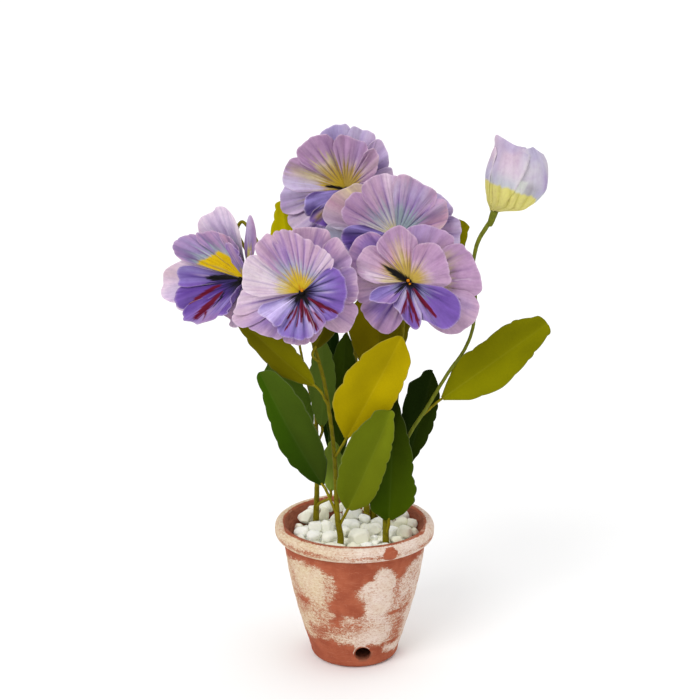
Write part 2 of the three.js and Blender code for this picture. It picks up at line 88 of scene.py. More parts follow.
def rgb(red, green, blue):
    """A colour named by its 0 to 255 screen values, as the linear values that shaders use:
    each is divided by 255 and raised to about 2.4, with a straight piece near black."""
    screen = np.array([red, green, blue]) / 255
    linear = np.where(screen <= 0.04045, screen / 12.92, ((screen + 0.055) / 1.055) ** 2.4)
    return tuple(float(x) for x in linear)


floor_mesh = bpy.data.meshes.new("floor")
floor_corners = [(-FLOOR_HALF, -FLOOR_HALF, 0), (FLOOR_HALF, -FLOOR_HALF, 0),
                 (FLOOR_HALF, FLOOR_HALF, 0), (-FLOOR_HALF, FLOOR_HALF, 0)]
floor_mesh.from_pydata(floor_corners, [], [(0, 1, 2, 3)])
floor = bpy.data.objects.new("floor", floor_mesh)
bpy.context.scene.collection.objects.link(floor)

floor_finish = bpy.data.materials.new("pale_floor")
floor_finish.use_nodes = True
floor_shader = floor_finish.node_tree.nodes["Principled BSDF"]
floor_shader.inputs["Base Color"].default_value = FLOOR_GREY
floor_shader.inputs["Roughness"].default_value = 0.9
floor_shader.inputs["Specular IOR Level"].default_value = 0.1
floor_mesh.materials.append(floor_finish)

# the world lights the plant softly, while a wall of full white is what the camera sees
world = bpy.data.worlds.new("soft_daylight")
world.use_nodes = True
wall_nodes, wall_links = world.node_tree.nodes, world.node_tree.links
wall_nodes["Background"].inputs["Color"].default_value = (1, 1, 1, 1)
wall_nodes["Background"].inputs["Strength"].default_value = DAYLIGHT
seen_wall = wall_nodes.new("ShaderNodeBackground")
seen_wall.inputs["Color"].default_value = (1, 1, 1, 1)
seen_wall.inputs["Strength"].default_value = 1.0
ray_kind = wall_nodes.new("ShaderNodeLightPath")
either = wall_nodes.new("ShaderNodeMixShader")
wall_links.new(ray_kind.outputs["Is Camera Ray"], either.inputs[0])
wall_links.new(wall_nodes["Background"].outputs[0], either.inputs[1])
wall_links.new(seen_wall.outputs[0], either.inputs[2])
wall_links.new(either.outputs[0], wall_nodes["World Output"].inputs["Surface"])
bpy.context.scene.world = world


def hang_lamp(name, place, softness, strength):
    """A lamp so far away that its rays are parallel, as from a big window, shining from a place
    towards the middle of the plant. softness is how wide the window looks, in degrees."""
    data = bpy.data.lights.new(name, "SUN")
    data.angle = math.radians(softness)
    data.energy = strength
    lamp = bpy.data.objects.new(name, data)
    lamp.location = place
    heading = np.array([0, 0, 0.2]) - np.array(place)
    lamp.rotation_euler = (math.atan2(np.hypot(heading[0], heading[1]), -heading[2]), 0,
                           math.atan2(heading[1], heading[0]) - math.pi / 2)
    bpy.context.scene.collection.objects.link(lamp)


hang_lamp("window_light", (-0.9, -1.3, 1.5), 32, 1.15)
hang_lamp("top_light", (0.3, 0.1, 1.9), 50, 0.45)
bpy.context.scene.view_settings.view_transform = "Standard"
bpy.context.scene.view_settings.look = "None"

# %% [markdown]
# ## Making a mesh from a grid
#
# Every new surface here is a grid of points, rows by columns, so one helper can join neighbours
# into four-sided faces. Where a grid closes on itself, as round a stem, the last column joins the
# first. Colours and measures worked out along with the points ride on them as attributes.

# %% Grid helpers
def unit(vectors):
    """Each vector divided by its length."""
    return vectors / np.maximum(np.linalg.norm(vectors, axis=-1, keepdims=True), 1e-12)


def grid_faces(rows, columns, closed=False, first=0):
    """Four-sided faces between neighbours of a grid whose points are numbered along its rows."""
    number = first + np.arange(rows * columns).reshape(rows, columns)
    if closed:
        number = np.concatenate([number, number[:, :1]], axis=1)
    corners = [number[:-1, :-1], number[:-1, 1:], number[1:, 1:], number[1:, :-1]]
    return np.stack([c.ravel() for c in corners], axis=1)


def make_piece(name, points, face_groups, polar=None, paint=None, measures=None):
    """A smooth-shaded object from points in millimetres and arrays of faces, each array holding
    faces with the same number of corners. polar gives each point's place on a flat pattern."""
    mesh = bpy.data.meshes.new(name)
    points = np.asarray(points, float).reshape(-1, 3)
    corners = np.concatenate([g.ravel() for g in face_groups])
    sizes = np.concatenate([np.full(len(g), g.shape[1]) for g in face_groups])
    mesh.vertices.add(len(points))
    mesh.vertices.foreach_set("co", (points * MM).ravel())
    mesh.loops.add(len(corners))
    mesh.loops.foreach_set("vertex_index", corners.astype(np.int32))
    mesh.polygons.add(len(sizes))
    mesh.polygons.foreach_set("loop_start", np.concatenate([[0], np.cumsum(sizes)[:-1]]).astype(np.int32))
    mesh.polygons.foreach_set("use_smooth", np.ones(len(sizes), bool))
    if polar is not None:
        flat = np.asarray(polar, float).reshape(-1, 2)
        mesh.uv_layers.new(name="pattern").data.foreach_set("uv", flat[corners].ravel())
    if paint is not None:
        colours = np.asarray(paint, float).reshape(-1, 3)
        colours = np.concatenate([colours, np.ones((len(colours), 1))], axis=1)
        mesh.attributes.new("paint", "FLOAT_COLOR", "POINT").data.foreach_set("color", colours.ravel())
    for key, values in (measures or {}).items():
        mesh.attributes.new(key, "FLOAT", "POINT").data.foreach_set("value", np.ravel(values))
    mesh.update(calc_edges=True)
    mesh.validate()
    piece = bpy.data.objects.new(name, mesh)
    bpy.context.scene.collection.objects.link(piece)
    return piece


def read_smooth(values, share):
    """Values given at even steps, read anywhere in between along a smooth curve through them:
    each stretch leaves a value in the direction of the two beside it."""
    values = np.asarray(values, float)
    place = np.clip(share, 0, 1) * (len(values) - 1)
    k = np.minimum(np.floor(place).astype(int), len(values) - 2)
    f = place - k
    p0, p1, p2, p3 = (values[np.clip(k + n, 0, len(values) - 1)] for n in (-1, 0, 1, 2))
    return p1 + 0.5 * f * (p2 - p0 + f * (2 * p0 - 5 * p1 + 4 * p2 - p3 + f * (3 * (p1 - p2) + p3 - p0)))


def ease(low, high, x):
    """0 below low, 1 above high, and a smooth S in between."""
    t = np.clip((x - low) / (high - low), 0, 1)
    return t * t * (3 - 2 * t)


def cloud(x, y, seed):
    """Smooth noise from 0 to 1: a random value at each whole number of x and y, eased between."""
    table = np.random.default_rng(seed).random((128, 128))
    i, j = np.floor(x).astype(int), np.floor(y).astype(int)
    u, v = ease(0, 1, x - i), ease(0, 1, y - j)
    near = table[i % 128, j % 128] * (1 - u) + table[(i + 1) % 128, j % 128] * u
    far = table[i % 128, (j + 1) % 128] * (1 - u) + table[(i + 1) % 128, (j + 1) % 128] * u
    return near * (1 - v) + far * v


def blend(first, second, share):
    """Two colours, or arrays of them, mixed by an array of shares."""
    return first + (np.asarray(second) - first) * np.clip(share, 0, 1)[..., None]


def inside_outline(corners, x, y):
    """Distance to a closed outline, positive inside it: the shortest way to any of its sides,
    with a sign by how often a line to one side crosses the outline."""
    nearest, crossings = np.full(x.shape, 1e9), np.zeros(x.shape)
    for (ax, ay), (bx, by) in zip(corners, np.roll(corners, -1, axis=0)):
        run, rise = bx - ax, by - ay
        share = np.clip(((x - ax) * run + (y - ay) * rise) / (run**2 + rise**2), 0, 1)
        nearest = np.minimum(nearest, np.hypot(x - ax - share * run, y - ay - share * rise))
        meets = ax + (y - ay) * run / (rise or 1)
        crossings = crossings + (((ay > y) != (by > y)) & (x < meets))
    return np.where(crossings % 2 == 1, nearest, -nearest)


def finish_paper(piece, thickness):
    """Gives a sheet of paper its thickness, half to each side."""
    wall = piece.modifiers.new("paper", "SOLIDIFY")
    wall.thickness = thickness * MM
    wall.offset = 0


def stand_for(piece, node, material):
    """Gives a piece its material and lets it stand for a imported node, on the only body."""
    piece.data.materials.clear()
    piece.data.materials.append(material)
    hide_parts(node)
    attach(piece, "root")


print("mesh helpers ready")

# %% [markdown]
# ## Writing a finish
#
# A finish is a small network of nodes. This helper class keeps the network short to write: each
# call adds one node, plugs in what it is given, whether a number or another node's output, and
# hands back the new output. Numbers that are the same all over go straight on the shader.

# %% Finish helper
class Finish:
    """A material whose nodes are added one call at a time."""

    def __init__(self, name, roughness, specular=0.3):
        self.material = bpy.data.materials.new(name)
        self.material.use_nodes = True
        self.tree = self.material.node_tree
        self.shader = self.tree.nodes["Principled BSDF"]
        self.shader.inputs["Roughness"].default_value = roughness
        self.shader.inputs["Specular IOR Level"].default_value = specular
        self.place = self.tree.nodes.new("ShaderNodeTexCoord").outputs["Object"]

    def add(self, kind, inputs, output=0, **properties):
        """One node with its properties set and its inputs plugged or set; gives one output."""
        node = self.tree.nodes.new(kind)
        for key, value in properties.items():
            setattr(node, key, value)
        for key, value in inputs.items():
            if isinstance(value, bpy.types.NodeSocket):
                self.tree.links.new(value, node.inputs[key])
            else:
                node.inputs[key].default_value = value
        return node.outputs[output]

    def maths(self, operation, first, second=0.0):
        """A sum, product or the like of two values."""
        return self.add("ShaderNodeMath", {0: first, 1: second}, operation=operation)

    def between(self, value, low, high, top=1.0):
        """The value eased from 0 at low to top at high."""
        inputs = {"Value": value, "From Min": low, "From Max": high, "To Min": 0.0, "To Max": top}
        return self.add("ShaderNodeMapRange", inputs, interpolation_type="SMOOTHSTEP")

    def mix(self, share, first, second, blend="MIX"):
        """Two colours mixed by a share from 0 to 1."""
        colours = [(*c, 1) if isinstance(c, tuple) and len(c) == 3 else c for c in (first, second)]
        inputs = {0: share, 6: colours[0], 7: colours[1]}
        return self.add("ShaderNodeMix", inputs, 2, data_type="RGBA", blend_type=blend)

    def over(self, under, value, low, high, amount, colour, blend="MIX"):
        """A colour laid over another by as much as amount, where a value goes from low to high."""
        return self.mix(self.between(value, low, high, amount), under, colour, blend)

    def stretched(self, vector, scale):
        """A place multiplied along each axis, which makes a pattern finer along it."""
        return self.add("ShaderNodeMapping", {"Vector": vector, "Scale": scale})

    def noise(self, vector, scale, detail=2.0, roughness=0.5, distortion=0.0):
        """Smooth noise from 0 to 1, with about scale waves to a unit of the vector."""
        inputs = {"Vector": vector, "Scale": scale, "Detail": detail, "Roughness": roughness,
                  "Distortion": distortion}
        return self.add("ShaderNodeTexNoise", inputs)

    def attribute(self, name, output="Fac"):
        """A value or colour that rides on the mesh."""
        return self.add("ShaderNodeAttribute", {}, output, attribute_name=name)

    def pattern(self):
        """The piece's flat pattern as a vector."""
        return self.add("ShaderNodeUVMap", {}, uv_map="pattern")

    def rightward(self):
        """How far to the right of the pot's axis a point is, in metres."""
        return self.add("ShaderNodeSeparateXYZ", {0: self.place})

    def bump(self, height, distance, strength=1.0, under=None):
        """Lets a height in millimetres tilt the light, on top of another bump if one is given."""
        inputs = {"Height": height, "Distance": distance * MM, "Strength": strength}
        if under is not None:
            inputs["Normal"] = under
        return self.add("ShaderNodeBump", inputs)

    def wear(self, colour, normal):
        """Plugs the finished colour and bump into the shader."""
        self.tree.links.new(colour, self.shader.inputs["Base Color"])
        self.tree.links.new(normal, self.shader.inputs["Normal"])
        return self.material


print("finish helper ready")

# %% [markdown]
# ## The pot: a lathe with an uneven hand
#
# A clay pot is a profile turned about an axis. Drawn as one closed profile from the middle of the
# foot, up the outside, over the rolled rim and down inside to the middle of the floor, it needs no
# cap. A hand-thrown surface isn't true, so the radius wavers by a fifth of a millimetre in slow
# rings, and the foot draws in a little more than the straight taper.

# %% Turn the pot
FOOT_RADIUS = 31.6
BODY_TOP_RADIUS = 51.3
BODY_TOP_HEIGHT = 90.0
BODY_BELLY = 2.9
FOOT_ROUNDING = 5.0
WALL = 6.0
FLOOR_THICKNESS = 7.0
DRAIN_RADIUS = 6.0
DRAIN_X = 6.0
DRAIN_HEIGHT = 11.0
POT_SIDES = 320
SLIP = 0.05  # how far the new pot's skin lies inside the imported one
WAVER_ROOM = 0.25  # how much further in the side lies, so that it can waver
FOOT_SLIMMER = 1.3  # how much slimmer the hand-shaped foot is than the straight taper


def body_radius(height):
    """Radius of the pot's outside: a straight taper from foot to rim plus a shallow parabola."""
    t = height / BODY_TOP_HEIGHT
    return FOOT_RADIUS + (BODY_TOP_RADIUS - FOOT_RADIUS) * t + BODY_BELLY * 4 * t * (1 - t)


def pot_profile():
    """The closed profile as [radius, height] rows: foot, rounded heel, bellied side, a rim that
    rolls over on a smooth curve, the inside wall and the floor."""
    turn = np.linspace(0, math.pi / 2, 9)
    heel = np.stack([body_radius(FOOT_ROUNDING) - FOOT_ROUNDING * (1 - np.sin(turn)),
                     FOOT_ROUNDING * (1 - np.cos(turn))], axis=1)
    flat_foot = np.stack([np.linspace(0.01, heel[0, 0], 12, endpoint=False), np.zeros(12)], axis=1)
    rise = np.linspace(FOOT_ROUNDING + 1.5, BODY_TOP_HEIGHT - 0.8, 76)
    side = np.stack([body_radius(rise), rise], axis=1)
    rim_knots = np.array([(51.4, 89.8), (52.6, 90.1), (55.3, 90.5), (56.9, 92.6), (57.35, 95.2), (57.4, 97.6),
                          (56.6, 99.9), (54.9, 101.3), (53, 101.55), (51.2, 100.9), (50.1, 99.4), (49, 96.6),
                          (47.2, 92.6)])
    along = np.linspace(0, 1, 72)
    rim = np.stack([read_smooth(rim_knots[:, k], along) for k in (0, 1)], axis=1)
    fall = np.linspace(89, FLOOR_THICKNESS + 2, 40)
    inside = np.stack([body_radius(fall) - WALL, fall], axis=1)
    floor_in = np.stack([np.linspace(inside[-1, 0] - 2, 0.01, 12), np.full(12, FLOOR_THICKNESS)], axis=1)
    return np.concatenate([flat_foot, heel, side, rim, inside, floor_in])


def waver(angle, height):
    """The slow unevenness of a hand-thrown wall, in millimetres, as a sum of a few ripples."""
    rings = 0.10 * np.sin(height * 0.42 + 0.8 * np.sin(angle)) + 0.06 * np.sin(height * 1.1 + angle)
    return rings + 0.12 * np.sin(2 * angle + 0.6) + 0.07 * np.sin(3 * angle + height * 0.05)


pot_rows = pot_profile()
row_radius, row_height = pot_rows[:, :1], pot_rows[:, 1:]
past_top = np.arange(len(pot_rows))[:, None] - np.argmax(row_height)
# angle 0 is the front of the pot, and grows towards its right
pot_angle = np.linspace(0, 2 * math.pi, POT_SIDES, endpoint=False)[None, :]
pot_height = row_height + 0 * pot_angle
on_side = ease(1.5, 8, pot_height) * ease(0, 20, row_radius)
pot_radius = row_radius - SLIP - WAVER_ROOM * on_side + waver(pot_angle, pot_height) * on_side
pot_radius = pot_radius - FOOT_SLIMMER * ease(80, 5, pot_height) * (past_top < 0) * ease(0, 25, row_radius)
pot_points = np.stack([pot_radius * np.sin(pot_angle), -pot_radius * np.cos(pot_angle), pot_height], axis=-1)
print("pot profile points:", len(pot_rows), "rim radius:", round(float(pot_radius.max()), 2))

# %% [markdown]
# ## Where the limewash has worn
#
# The wash is cream over red clay. It is gone in a band under the rim that runs down the front as
# a tongue, and round the foot. Each bare patch is an outline drawn on the wall by angle and
# height. A point's distance to the nearest outline, counted as positive inside, says how bare it
# is, so the finish can break the border up with noise. Elsewhere the wash is thick or thin in soft
# ovals, and the rim has a speckled band, a bare spot and a worn inner edge of its own.

# %% Map the wear
# angle round the pot in degrees (0 is the front, and it grows towards the right), height in mm
BARE_PATCHES = [
    # under the rim, and the tongue down the front
    [(-108, 91), (-104, 84), (-70, 80), (-53, 81), (-30, 82), (-19, 76), (-14, 71), (-17, 63), (-22, 53),
     (-20, 47), (-22, 37), (-15, 34), (-10, 46), (8, 47), (9, 56), (2, 60), (-1, 66), (8, 71), (15, 75),
     (23, 83), (30, 81), (33, 78), (37, 72), (41, 72), (46, 79), (54, 82), (72, 82), (96, 85), (100, 91)],
    # the foot
    [(-130, -1), (-122, 12), (-69, 21), (-57, 19), (-40, 22), (-20, 24), (-9, 21), (2, 18), (18, 20),
     (33, 19), (38, 13), (48, 10), (60, 7), (84, 12), (96, -1)],
    # the back
    [(-176, 91), (-170, 72), (-152, 60), (-140, 40), (-128, 48), (-120, 66), (-112, 80), (-106, 91)],
    [(112, 91), (118, 74), (132, 70), (140, 56), (152, 62), (160, 80), (176, 84), (178, 91)],
    [(150, -1), (156, 14), (176, 20), (181, -1)],
]
RIM_SPOT = [(20, 97), (22.5, 100.5), (28, 100.5), (30.5, 97), (30, 92), (27.5, 90), (21, 92)]
# angle, height, half-width in degrees, half-height in mm, and how much thinner the wash is
THIN = [
    (-4, 35, 22, 7, 0.45), (-50, 50, 12, 9, 0.25), (-38, 29, 18, 5, 0.3), (2, 53, 8, 12, 0.3),
    (38, 60, 6, 14, 0.35), (40, 45, 9, 1.1, 0.7), (44, 45, 16, 4, 0.15), (49, 18.5, 12, 1.5, 0.6),
    (-54, 52, 9, 2.5, 0.4), (-24, 60, 6, 16, 0.3), (54, 40, 12, 16, 0.2), (-64, 60, 9, 20, 0.22),
    (58, 72, 9, 10, 0.2), (48, 26, 12, 9, 0.22), (-34, 44, 20, 24, 0.1), (130, 40, 26, 20, 0.3),
    (-160, 30, 24, 16, 0.3), (-90, 40, 14, 24, 0.2), (-38, 66, 16, 14, -0.3), (24, 62, 12, 16, -0.35),
    (16, 30, 16, 8, -0.3), (52, 12, 9, 4, -0.3),
]
BORDER = 9.0  # mm over which a patch goes from bare to washed
PATCHES_SHRINK = 1.0  # mm by which the border lies inside the drawn outlines
WASH_THINNESS = 0.25  # how bare the wash is where nothing is drawn
RIM_BAND_HEIGHT = 94.2  # middle of the rim's speckled red band
LIP_WORN = 51.9  # radius inside which the rim's top is worn bare, behind
LIP_WORN_MORE = 3.3  # how much further out it is worn in front
WALL_STEP = math.radians(45.0)  # mm along the wall for one degree round the pot


def inside_patch(patch, angle, height):
    """inside_outline for a patch on the pot's wall: an angle is turned to millimetres by the
    pot's middle radius, and counted from the patch's own middle so that it wraps round."""
    corners = np.array(patch, float)
    middle = corners[:, 0].mean()
    wrapped = (np.degrees(angle) - middle + 180) % 360 - 180 + middle
    return inside_outline(corners * (WALL_STEP, 1), wrapped * WALL_STEP, height + 0 * angle)


def soft_ovals(ovals, angle, height):
    """Sum of bell-shaped ovals on the wall: each falls off with the square of the distance from
    its middle, counted in its own half-widths, and angles wrap round the pot."""
    total = np.zeros(np.broadcast(angle, height).shape)
    for at, level, wide, tall, amount in ovals:
        round_by = (np.degrees(angle) - at + 180) % 360 - 180
        total = total + amount * np.exp(-((round_by / wide) ** 2) - ((height - level) / tall) ** 2)
    return total


inner = (past_top > 0) & (pot_height < 99.8) & (pot_height > 3)
full_turn = np.degrees(pot_angle)
half_turns = (full_turn + 180) % 360 - 180
wandering = 3.5 * (cloud(full_turn / 9 + 40, pot_height / 5 + 8, 5) - 0.5)
wandering = wandering + 2.5 * (cloud(full_turn / 3 + 40, pot_height / 1.6 + 8, 6) - 0.5)
depth_in = np.max([inside_patch(patch, pot_angle, pot_height) for patch in BARE_PATCHES], axis=0)
depth_in = depth_in + wandering - PATCHES_SHRINK
bareness = np.maximum(WASH_THINNESS + soft_ovals(THIN, pot_angle, pot_height), 0.02)
bareness = bareness + 0.95 * ease(-BORDER / 2, BORDER / 2, depth_in)

speckled_band = 0.34 * np.exp(-((pot_height - RIM_BAND_HEIGHT) / 2.0) ** 2)
patchy = 0.5 + cloud(full_turn / 14 + 12, 0 * pot_height, 8)
spot = ease(-0.6, 0.9, inside_patch(RIM_SPOT, pot_angle, pot_height) + 0.25 * wandering)
# the second term makes the rim a little darker towards its left
rim_bareness = 0.1 + 0.1 * ease(-10, -50, half_turns) + speckled_band * patchy + 1.1 * spot
worn_from = LIP_WORN + LIP_WORN_MORE * ease(80, 60, np.abs(half_turns))
lip_line = ease(worn_from + 0.5, worn_from - 0.5, row_radius) * (pot_height > 95)
lip_line = lip_line * (0.75 + 0.5 * cloud(full_turn / 8 + 12, pot_height / 2, 9))

rim_part = ease(90, 91.3, pot_height)
bareness = bareness * (1 - rim_part) + (rim_bareness + 0.7 * lip_line) * rim_part
bareness = np.where(pot_height < 0.6, 1.1, bareness)

pot_count = pot_points.shape[0] * pot_points.shape[1]
pot_faces = [grid_faces(len(pot_rows), POT_SIDES, closed=True),
             np.arange(POT_SIDES)[None, ::-1],
             (pot_count - POT_SIDES + np.arange(POT_SIDES))[None, :]]
pot = make_piece("pot_clay", pot_points, pot_faces,
                 measures={"bare": bareness, "inside": inner.astype(float)})
print("pot faces:", len(pot.data.polygons))

# %% [markdown]
# ## Cutting the drain hole
#
# The cutter is a turned plug lying along the pot's depth: narrow through the wall and flared by a
# millimetre at the outer face, so that the cut has the rounded, worn edge of the real hole. The
# wet clay sagged a little round it, so the hole is a flattened oval.

# %% Cut the hole
HOLE_ACROSS = 0.93  # the oval's width and height as shares of a round hole's
HOLE_TALL = 0.84
HOLE_MIDDLE = DRAIN_HEIGHT + 0.8
HOLE_SIDES = 56


def turned_cutter(profile, sides):
    """A closed oval body along a line through the wall, from [radius, depth] rows: each row is a
    circle of its radius, narrowed to HOLE_ACROSS and flattened to HOLE_TALL."""
    rows = np.asarray(profile, float)
    angle = np.linspace(0, 2 * math.pi, sides, endpoint=False)[None, :]
    radius = rows[:, 0][:, None]
    points = np.stack([DRAIN_X + HOLE_ACROSS * radius * np.cos(angle), rows[:, 1][:, None] + 0 * angle,
                       HOLE_MIDDLE + HOLE_TALL * radius * np.sin(angle)], axis=-1)
    last = (len(rows) - 1) * sides
    faces = [grid_faces(len(rows), sides, closed=True)[:, ::-1],
             np.arange(sides)[None, :], (last + np.arange(sides))[None, ::-1]]
    return make_piece("drain_cutter", points, faces)


wall_face = -float(np.sqrt((body_radius(DRAIN_HEIGHT) - FOOT_SLIMMER) ** 2 - DRAIN_X ** 2))
# wider by, depth from the wall's face
flare = [(3.5, -3.0), (1.1, -0.5), (0.35, 0.4), (0, 1.4), (-0.2, 9.0)]
cutter = turned_cutter([(DRAIN_RADIUS + wider, wall_face + depth) for wider, depth in flare], HOLE_SIDES)
hole = pot.modifiers.new("drain", "BOOLEAN")
hole.operation = "DIFFERENCE"
hole.object = cutter
hole.solver = "EXACT"
bpy.context.view_layer.update()
cut_mesh = bpy.data.meshes.new_from_object(pot.evaluated_get(bpy.context.evaluated_depsgraph_get()))
pot.modifiers.clear()
pot.data = cut_mesh
bpy.data.objects.remove(cutter)

# clay shows bare round the hole's edge, and a little way into it the darker inside clay gives painted shade
corners = np.zeros(3 * len(cut_mesh.vertices), np.float32)
cut_mesh.vertices.foreach_get("co", corners)
at_x, at_y, at_z = corners.reshape(-1, 3).astype(float).T / MM
from_hole = np.hypot((at_x - DRAIN_X) / HOLE_ACROSS, (at_z - HOLE_MIDDLE) / HOLE_TALL) - DRAIN_RADIUS
behind = at_y - wall_face
at_hole = (from_hole < 1.3) & (behind < 14)
for measure, clay_there in (("bare", at_hole), ("inside", at_hole & (behind > 0.9))):
    values = np.zeros(len(at_x), np.float32)
    cut_mesh.attributes[measure].data.foreach_get("value", values)
    values[clay_there] = 1.0
    cut_mesh.attributes[measure].data.foreach_set("value", values)
cut_mesh.polygons.foreach_set("use_smooth", np.ones(len(cut_mesh.polygons), bool))
cut_mesh.set_sharp_from_angle(angle=math.radians(50))
print("pot faces with the hole:", len(cut_mesh.polygons))

# %% [markdown]
# ## Clay and limewash
#
# Two colours and the way between them. Noise at four sizes breaks the wear map: slow clouds,
# brush-wide streaks drawn round the pot, the grain of the clay, and specks half as small. The wash
# is yellower and darker on the left and pinker on the right, and where it thins it turns tan before
# the clay shows through. The share of bare clay also drives the bump. The inside is bare clay,
# darkened as painted shade.

# %% Clay finish
def clay_finish():
    """Wash, thin wash and clay mixed by the mesh's bareness plus four noises of their own weights."""
    clay = Finish("worn_limewash_on_clay", 0.88, 0.2)
    bare = clay.attribute("bare")
    inside = clay.attribute("inside")
    clouds = clay.noise(clay.place, 60.0, 4.0, 0.6, 0.4)
    strokes = clay.noise(clay.stretched(clay.place, (1, 1, 5.0)), 130.0, 5.0, 0.7)
    specks = clay.noise(clay.stretched(clay.place, (1, 1, 1.8)), 1050.0, 3.0, 0.7)
    grain = clay.noise(clay.stretched(clay.place, (1, 1, 2.2)), 420.0, 4.0, 0.75)
    broken = bare
    for noise, amount in ((clouds, 0.8), (strokes, 0.6), (specks, 1.7), (grain, 1.1)):
        broken = clay.maths("ADD", broken, clay.maths("MULTIPLY", clay.maths("SUBTRACT", noise, 0.5), amount))
    share = clay.between(broken, 0.14, 0.9)

    slow = clay.noise(clay.place, 90.0, 3.0)
    red = clay.over(rgb(150, 74, 50), slow, 0.3, 0.7, 1.0, rgb(170, 92, 64))
    red = clay.over(red, strokes, 0.5, 0.75, 0.7, rgb(182, 110, 82))
    red = clay.over(red, specks, 0.6, 0.8, 0.7, rgb(206, 154, 124))
    red = clay.over(red, grain, 0.42, 0.3, 0.5, rgb(140, 60, 38))
    cream = clay.over(rgb(212, 192, 160), clay.rightward(), -0.03, 0.012, 1.0, rgb(224, 206, 194))
    cream = clay.over(cream, clay.noise(clay.place, 110.0, 4.0), 0.35, 0.7, 0.6, rgb(212, 188, 166))
    cream = clay.over(cream, grain, 0.5, 0.68, 0.75, rgb(190, 146, 118))
    cream = clay.over(cream, grain, 0.46, 0.34, 0.6, rgb(232, 222, 202))
    cream = clay.over(cream, specks, 0.56, 0.76, 1.0, rgb(166, 112, 82))
    thin = clay.over(rgb(192, 144, 116), strokes, 0.4, 0.6, 1.0, rgb(184, 124, 94))
    outside = clay.over(cream, share, 0.0, 0.6, 1.0, thin)
    outside = clay.over(outside, share, 0.4, 1.0, 1.0, red)
    # bare clay inside the pot and the drain hole, darker as painted shade
    inside_clay_and_shade = clay.over(rgb(136, 74, 54), strokes, 0.35, 0.65, 1.0, rgb(166, 100, 74))
    relief = clay.bump(specks, 0.12, 0.7, clay.bump(share, 0.35, 0.5))
    return clay.wear(clay.mix(inside, outside, inside_clay_and_shade), relief)


stand_for(pot, "pot", clay_finish())
print("finish:", pot.data.materials[0].name)

# %% [markdown]
# ## Curves that the wires follow
#
# Each wire is one smooth curve through a few points. It gives every stretch a time equal to the
# square root of its length, which keeps it from looping where points are close together. A tube
# is then a circle carried along it.

# %% Curve and tube helpers
def smooth_route(points, step):
    """Points about one step apart along a smooth curve: each stretch is a cubic
    that leaves and reaches its ends with speeds averaged from the neighbouring stretches."""
    p = np.asarray(points, float)
    p = np.concatenate([[2 * p[0] - p[1]], p, [2 * p[-1] - p[-2]]])
    time = np.sqrt(np.linalg.norm(np.diff(p, axis=0), axis=1))
    pieces = []
    for k in range(1, len(p) - 2):
        a, b, c = time[k - 1], time[k], time[k + 1]
        leave = ((p[k] - p[k - 1]) / a - (p[k + 1] - p[k - 1]) / (a + b) + (p[k + 1] - p[k]) / b) * b
        reach = ((p[k + 1] - p[k]) / b - (p[k + 2] - p[k]) / (b + c) + (p[k + 2] - p[k + 1]) / c) * b
        f = np.linspace(0, 1, 40, endpoint=k == len(p) - 3)[:, None]
        pieces.append(p[k] * (2 * f**3 - 3 * f**2 + 1) + p[k + 1] * (3 * f**2 - 2 * f**3)
                      + leave * (f**3 - 2 * f**2 + f) + reach * (f**3 - f**2))
    fine = np.concatenate(pieces)
    length = np.concatenate([[0], np.cumsum(np.linalg.norm(np.diff(fine, axis=0), axis=1))])
    even = np.linspace(0, length[-1], max(6, int(length[-1] / step)))
    return np.stack([np.interp(even, length, fine[:, k]) for k in range(3)], axis=1), even


def side_directions(tangents):
    """Two directions across each tangent, turned as little as possible along the way: both are
    worked out from one fixed direction, the one that stays furthest from every tangent."""
    tries = unit(np.random.default_rng(4).normal(size=(200, 3)))
    worst = np.abs(tangents @ tries.T).max(axis=0)
    fixed = tries[np.argmin(worst)]
    first = unit(fixed - (tangents @ fixed)[:, None] * tangents)
    return first, np.cross(tangents, first)


TAPE_PITCH = 8.5  # how far the floral tape advances in one turn
TAPE_EDGE = 0.13  # how high its overlapping edge stands


def taped_tube(points, girths, sides=16, step=0.9):
    """A closed bar wound with tape: a circle carried along the curve, whose radius grows slowly
    over each turn of the tape and drops at the overlap. girths gives (height, radius) pairs, and
    the radius is read between them."""
    centre, along = smooth_route(points, step)
    heights, radii = zip(*girths)
    radius = np.interp(centre[:, 2], heights, radii)[:, None]
    tangent = unit(np.gradient(centre, axis=0))
    first, second = side_directions(tangent)
    turn = np.linspace(0, 2 * math.pi, sides, endpoint=False)[None, :]
    winding = (along[:, None] / TAPE_PITCH + turn / (2 * math.pi)) % 1
    whole = along[-1]
    ends = np.minimum(along, whole - along)[:, None]
    girth = radius + TAPE_EDGE * (winding - 0.5) * ease(0, 2, ends)
    girth = girth * np.sqrt(np.clip(1 - (1 - np.clip(ends / radius, 0, 1)) ** 2 * 0.8, 0.05, 1))
    ring = np.cos(turn)[..., None] * first[:, None] + np.sin(turn)[..., None] * second[:, None]
    return centre[:, None] + girth[..., None] * ring, winding + 0 * girth


def turned_knot(at, facing, profile, sides=28, rows=44):
    """A closed taped knot: a smooth profile of [radius, place along the axis] rows turned about
    the axis through a point."""
    out, right, up = flower_axes(facing)
    share = np.linspace(0, 1, rows)
    profile = np.asarray(profile, float)
    radius, along = (read_smooth(profile[:, k], share)[:, None] for k in (0, 1))
    turn = np.linspace(0, 2 * math.pi, sides, endpoint=False)[None, :]
    winding = (along / TAPE_PITCH * 2 + turn / (2 * math.pi)) % 1
    girth = np.maximum(radius, 0.05) * (1 + 0.03 * (winding - 0.5))
    points = (np.asarray(at, float) + (girth * np.cos(turn))[..., None] * right
              + (girth * np.sin(turn))[..., None] * up + (along + 0 * turn)[..., None] * out)
    return points, winding


def flower_axes(facing):
    """The direction a flower looks in, and its right and up as seen from its front."""
    out = unit(np.array(facing, float))
    right = unit(np.cross([0, 0, 1], out))
    return out, right, np.cross(out, right)


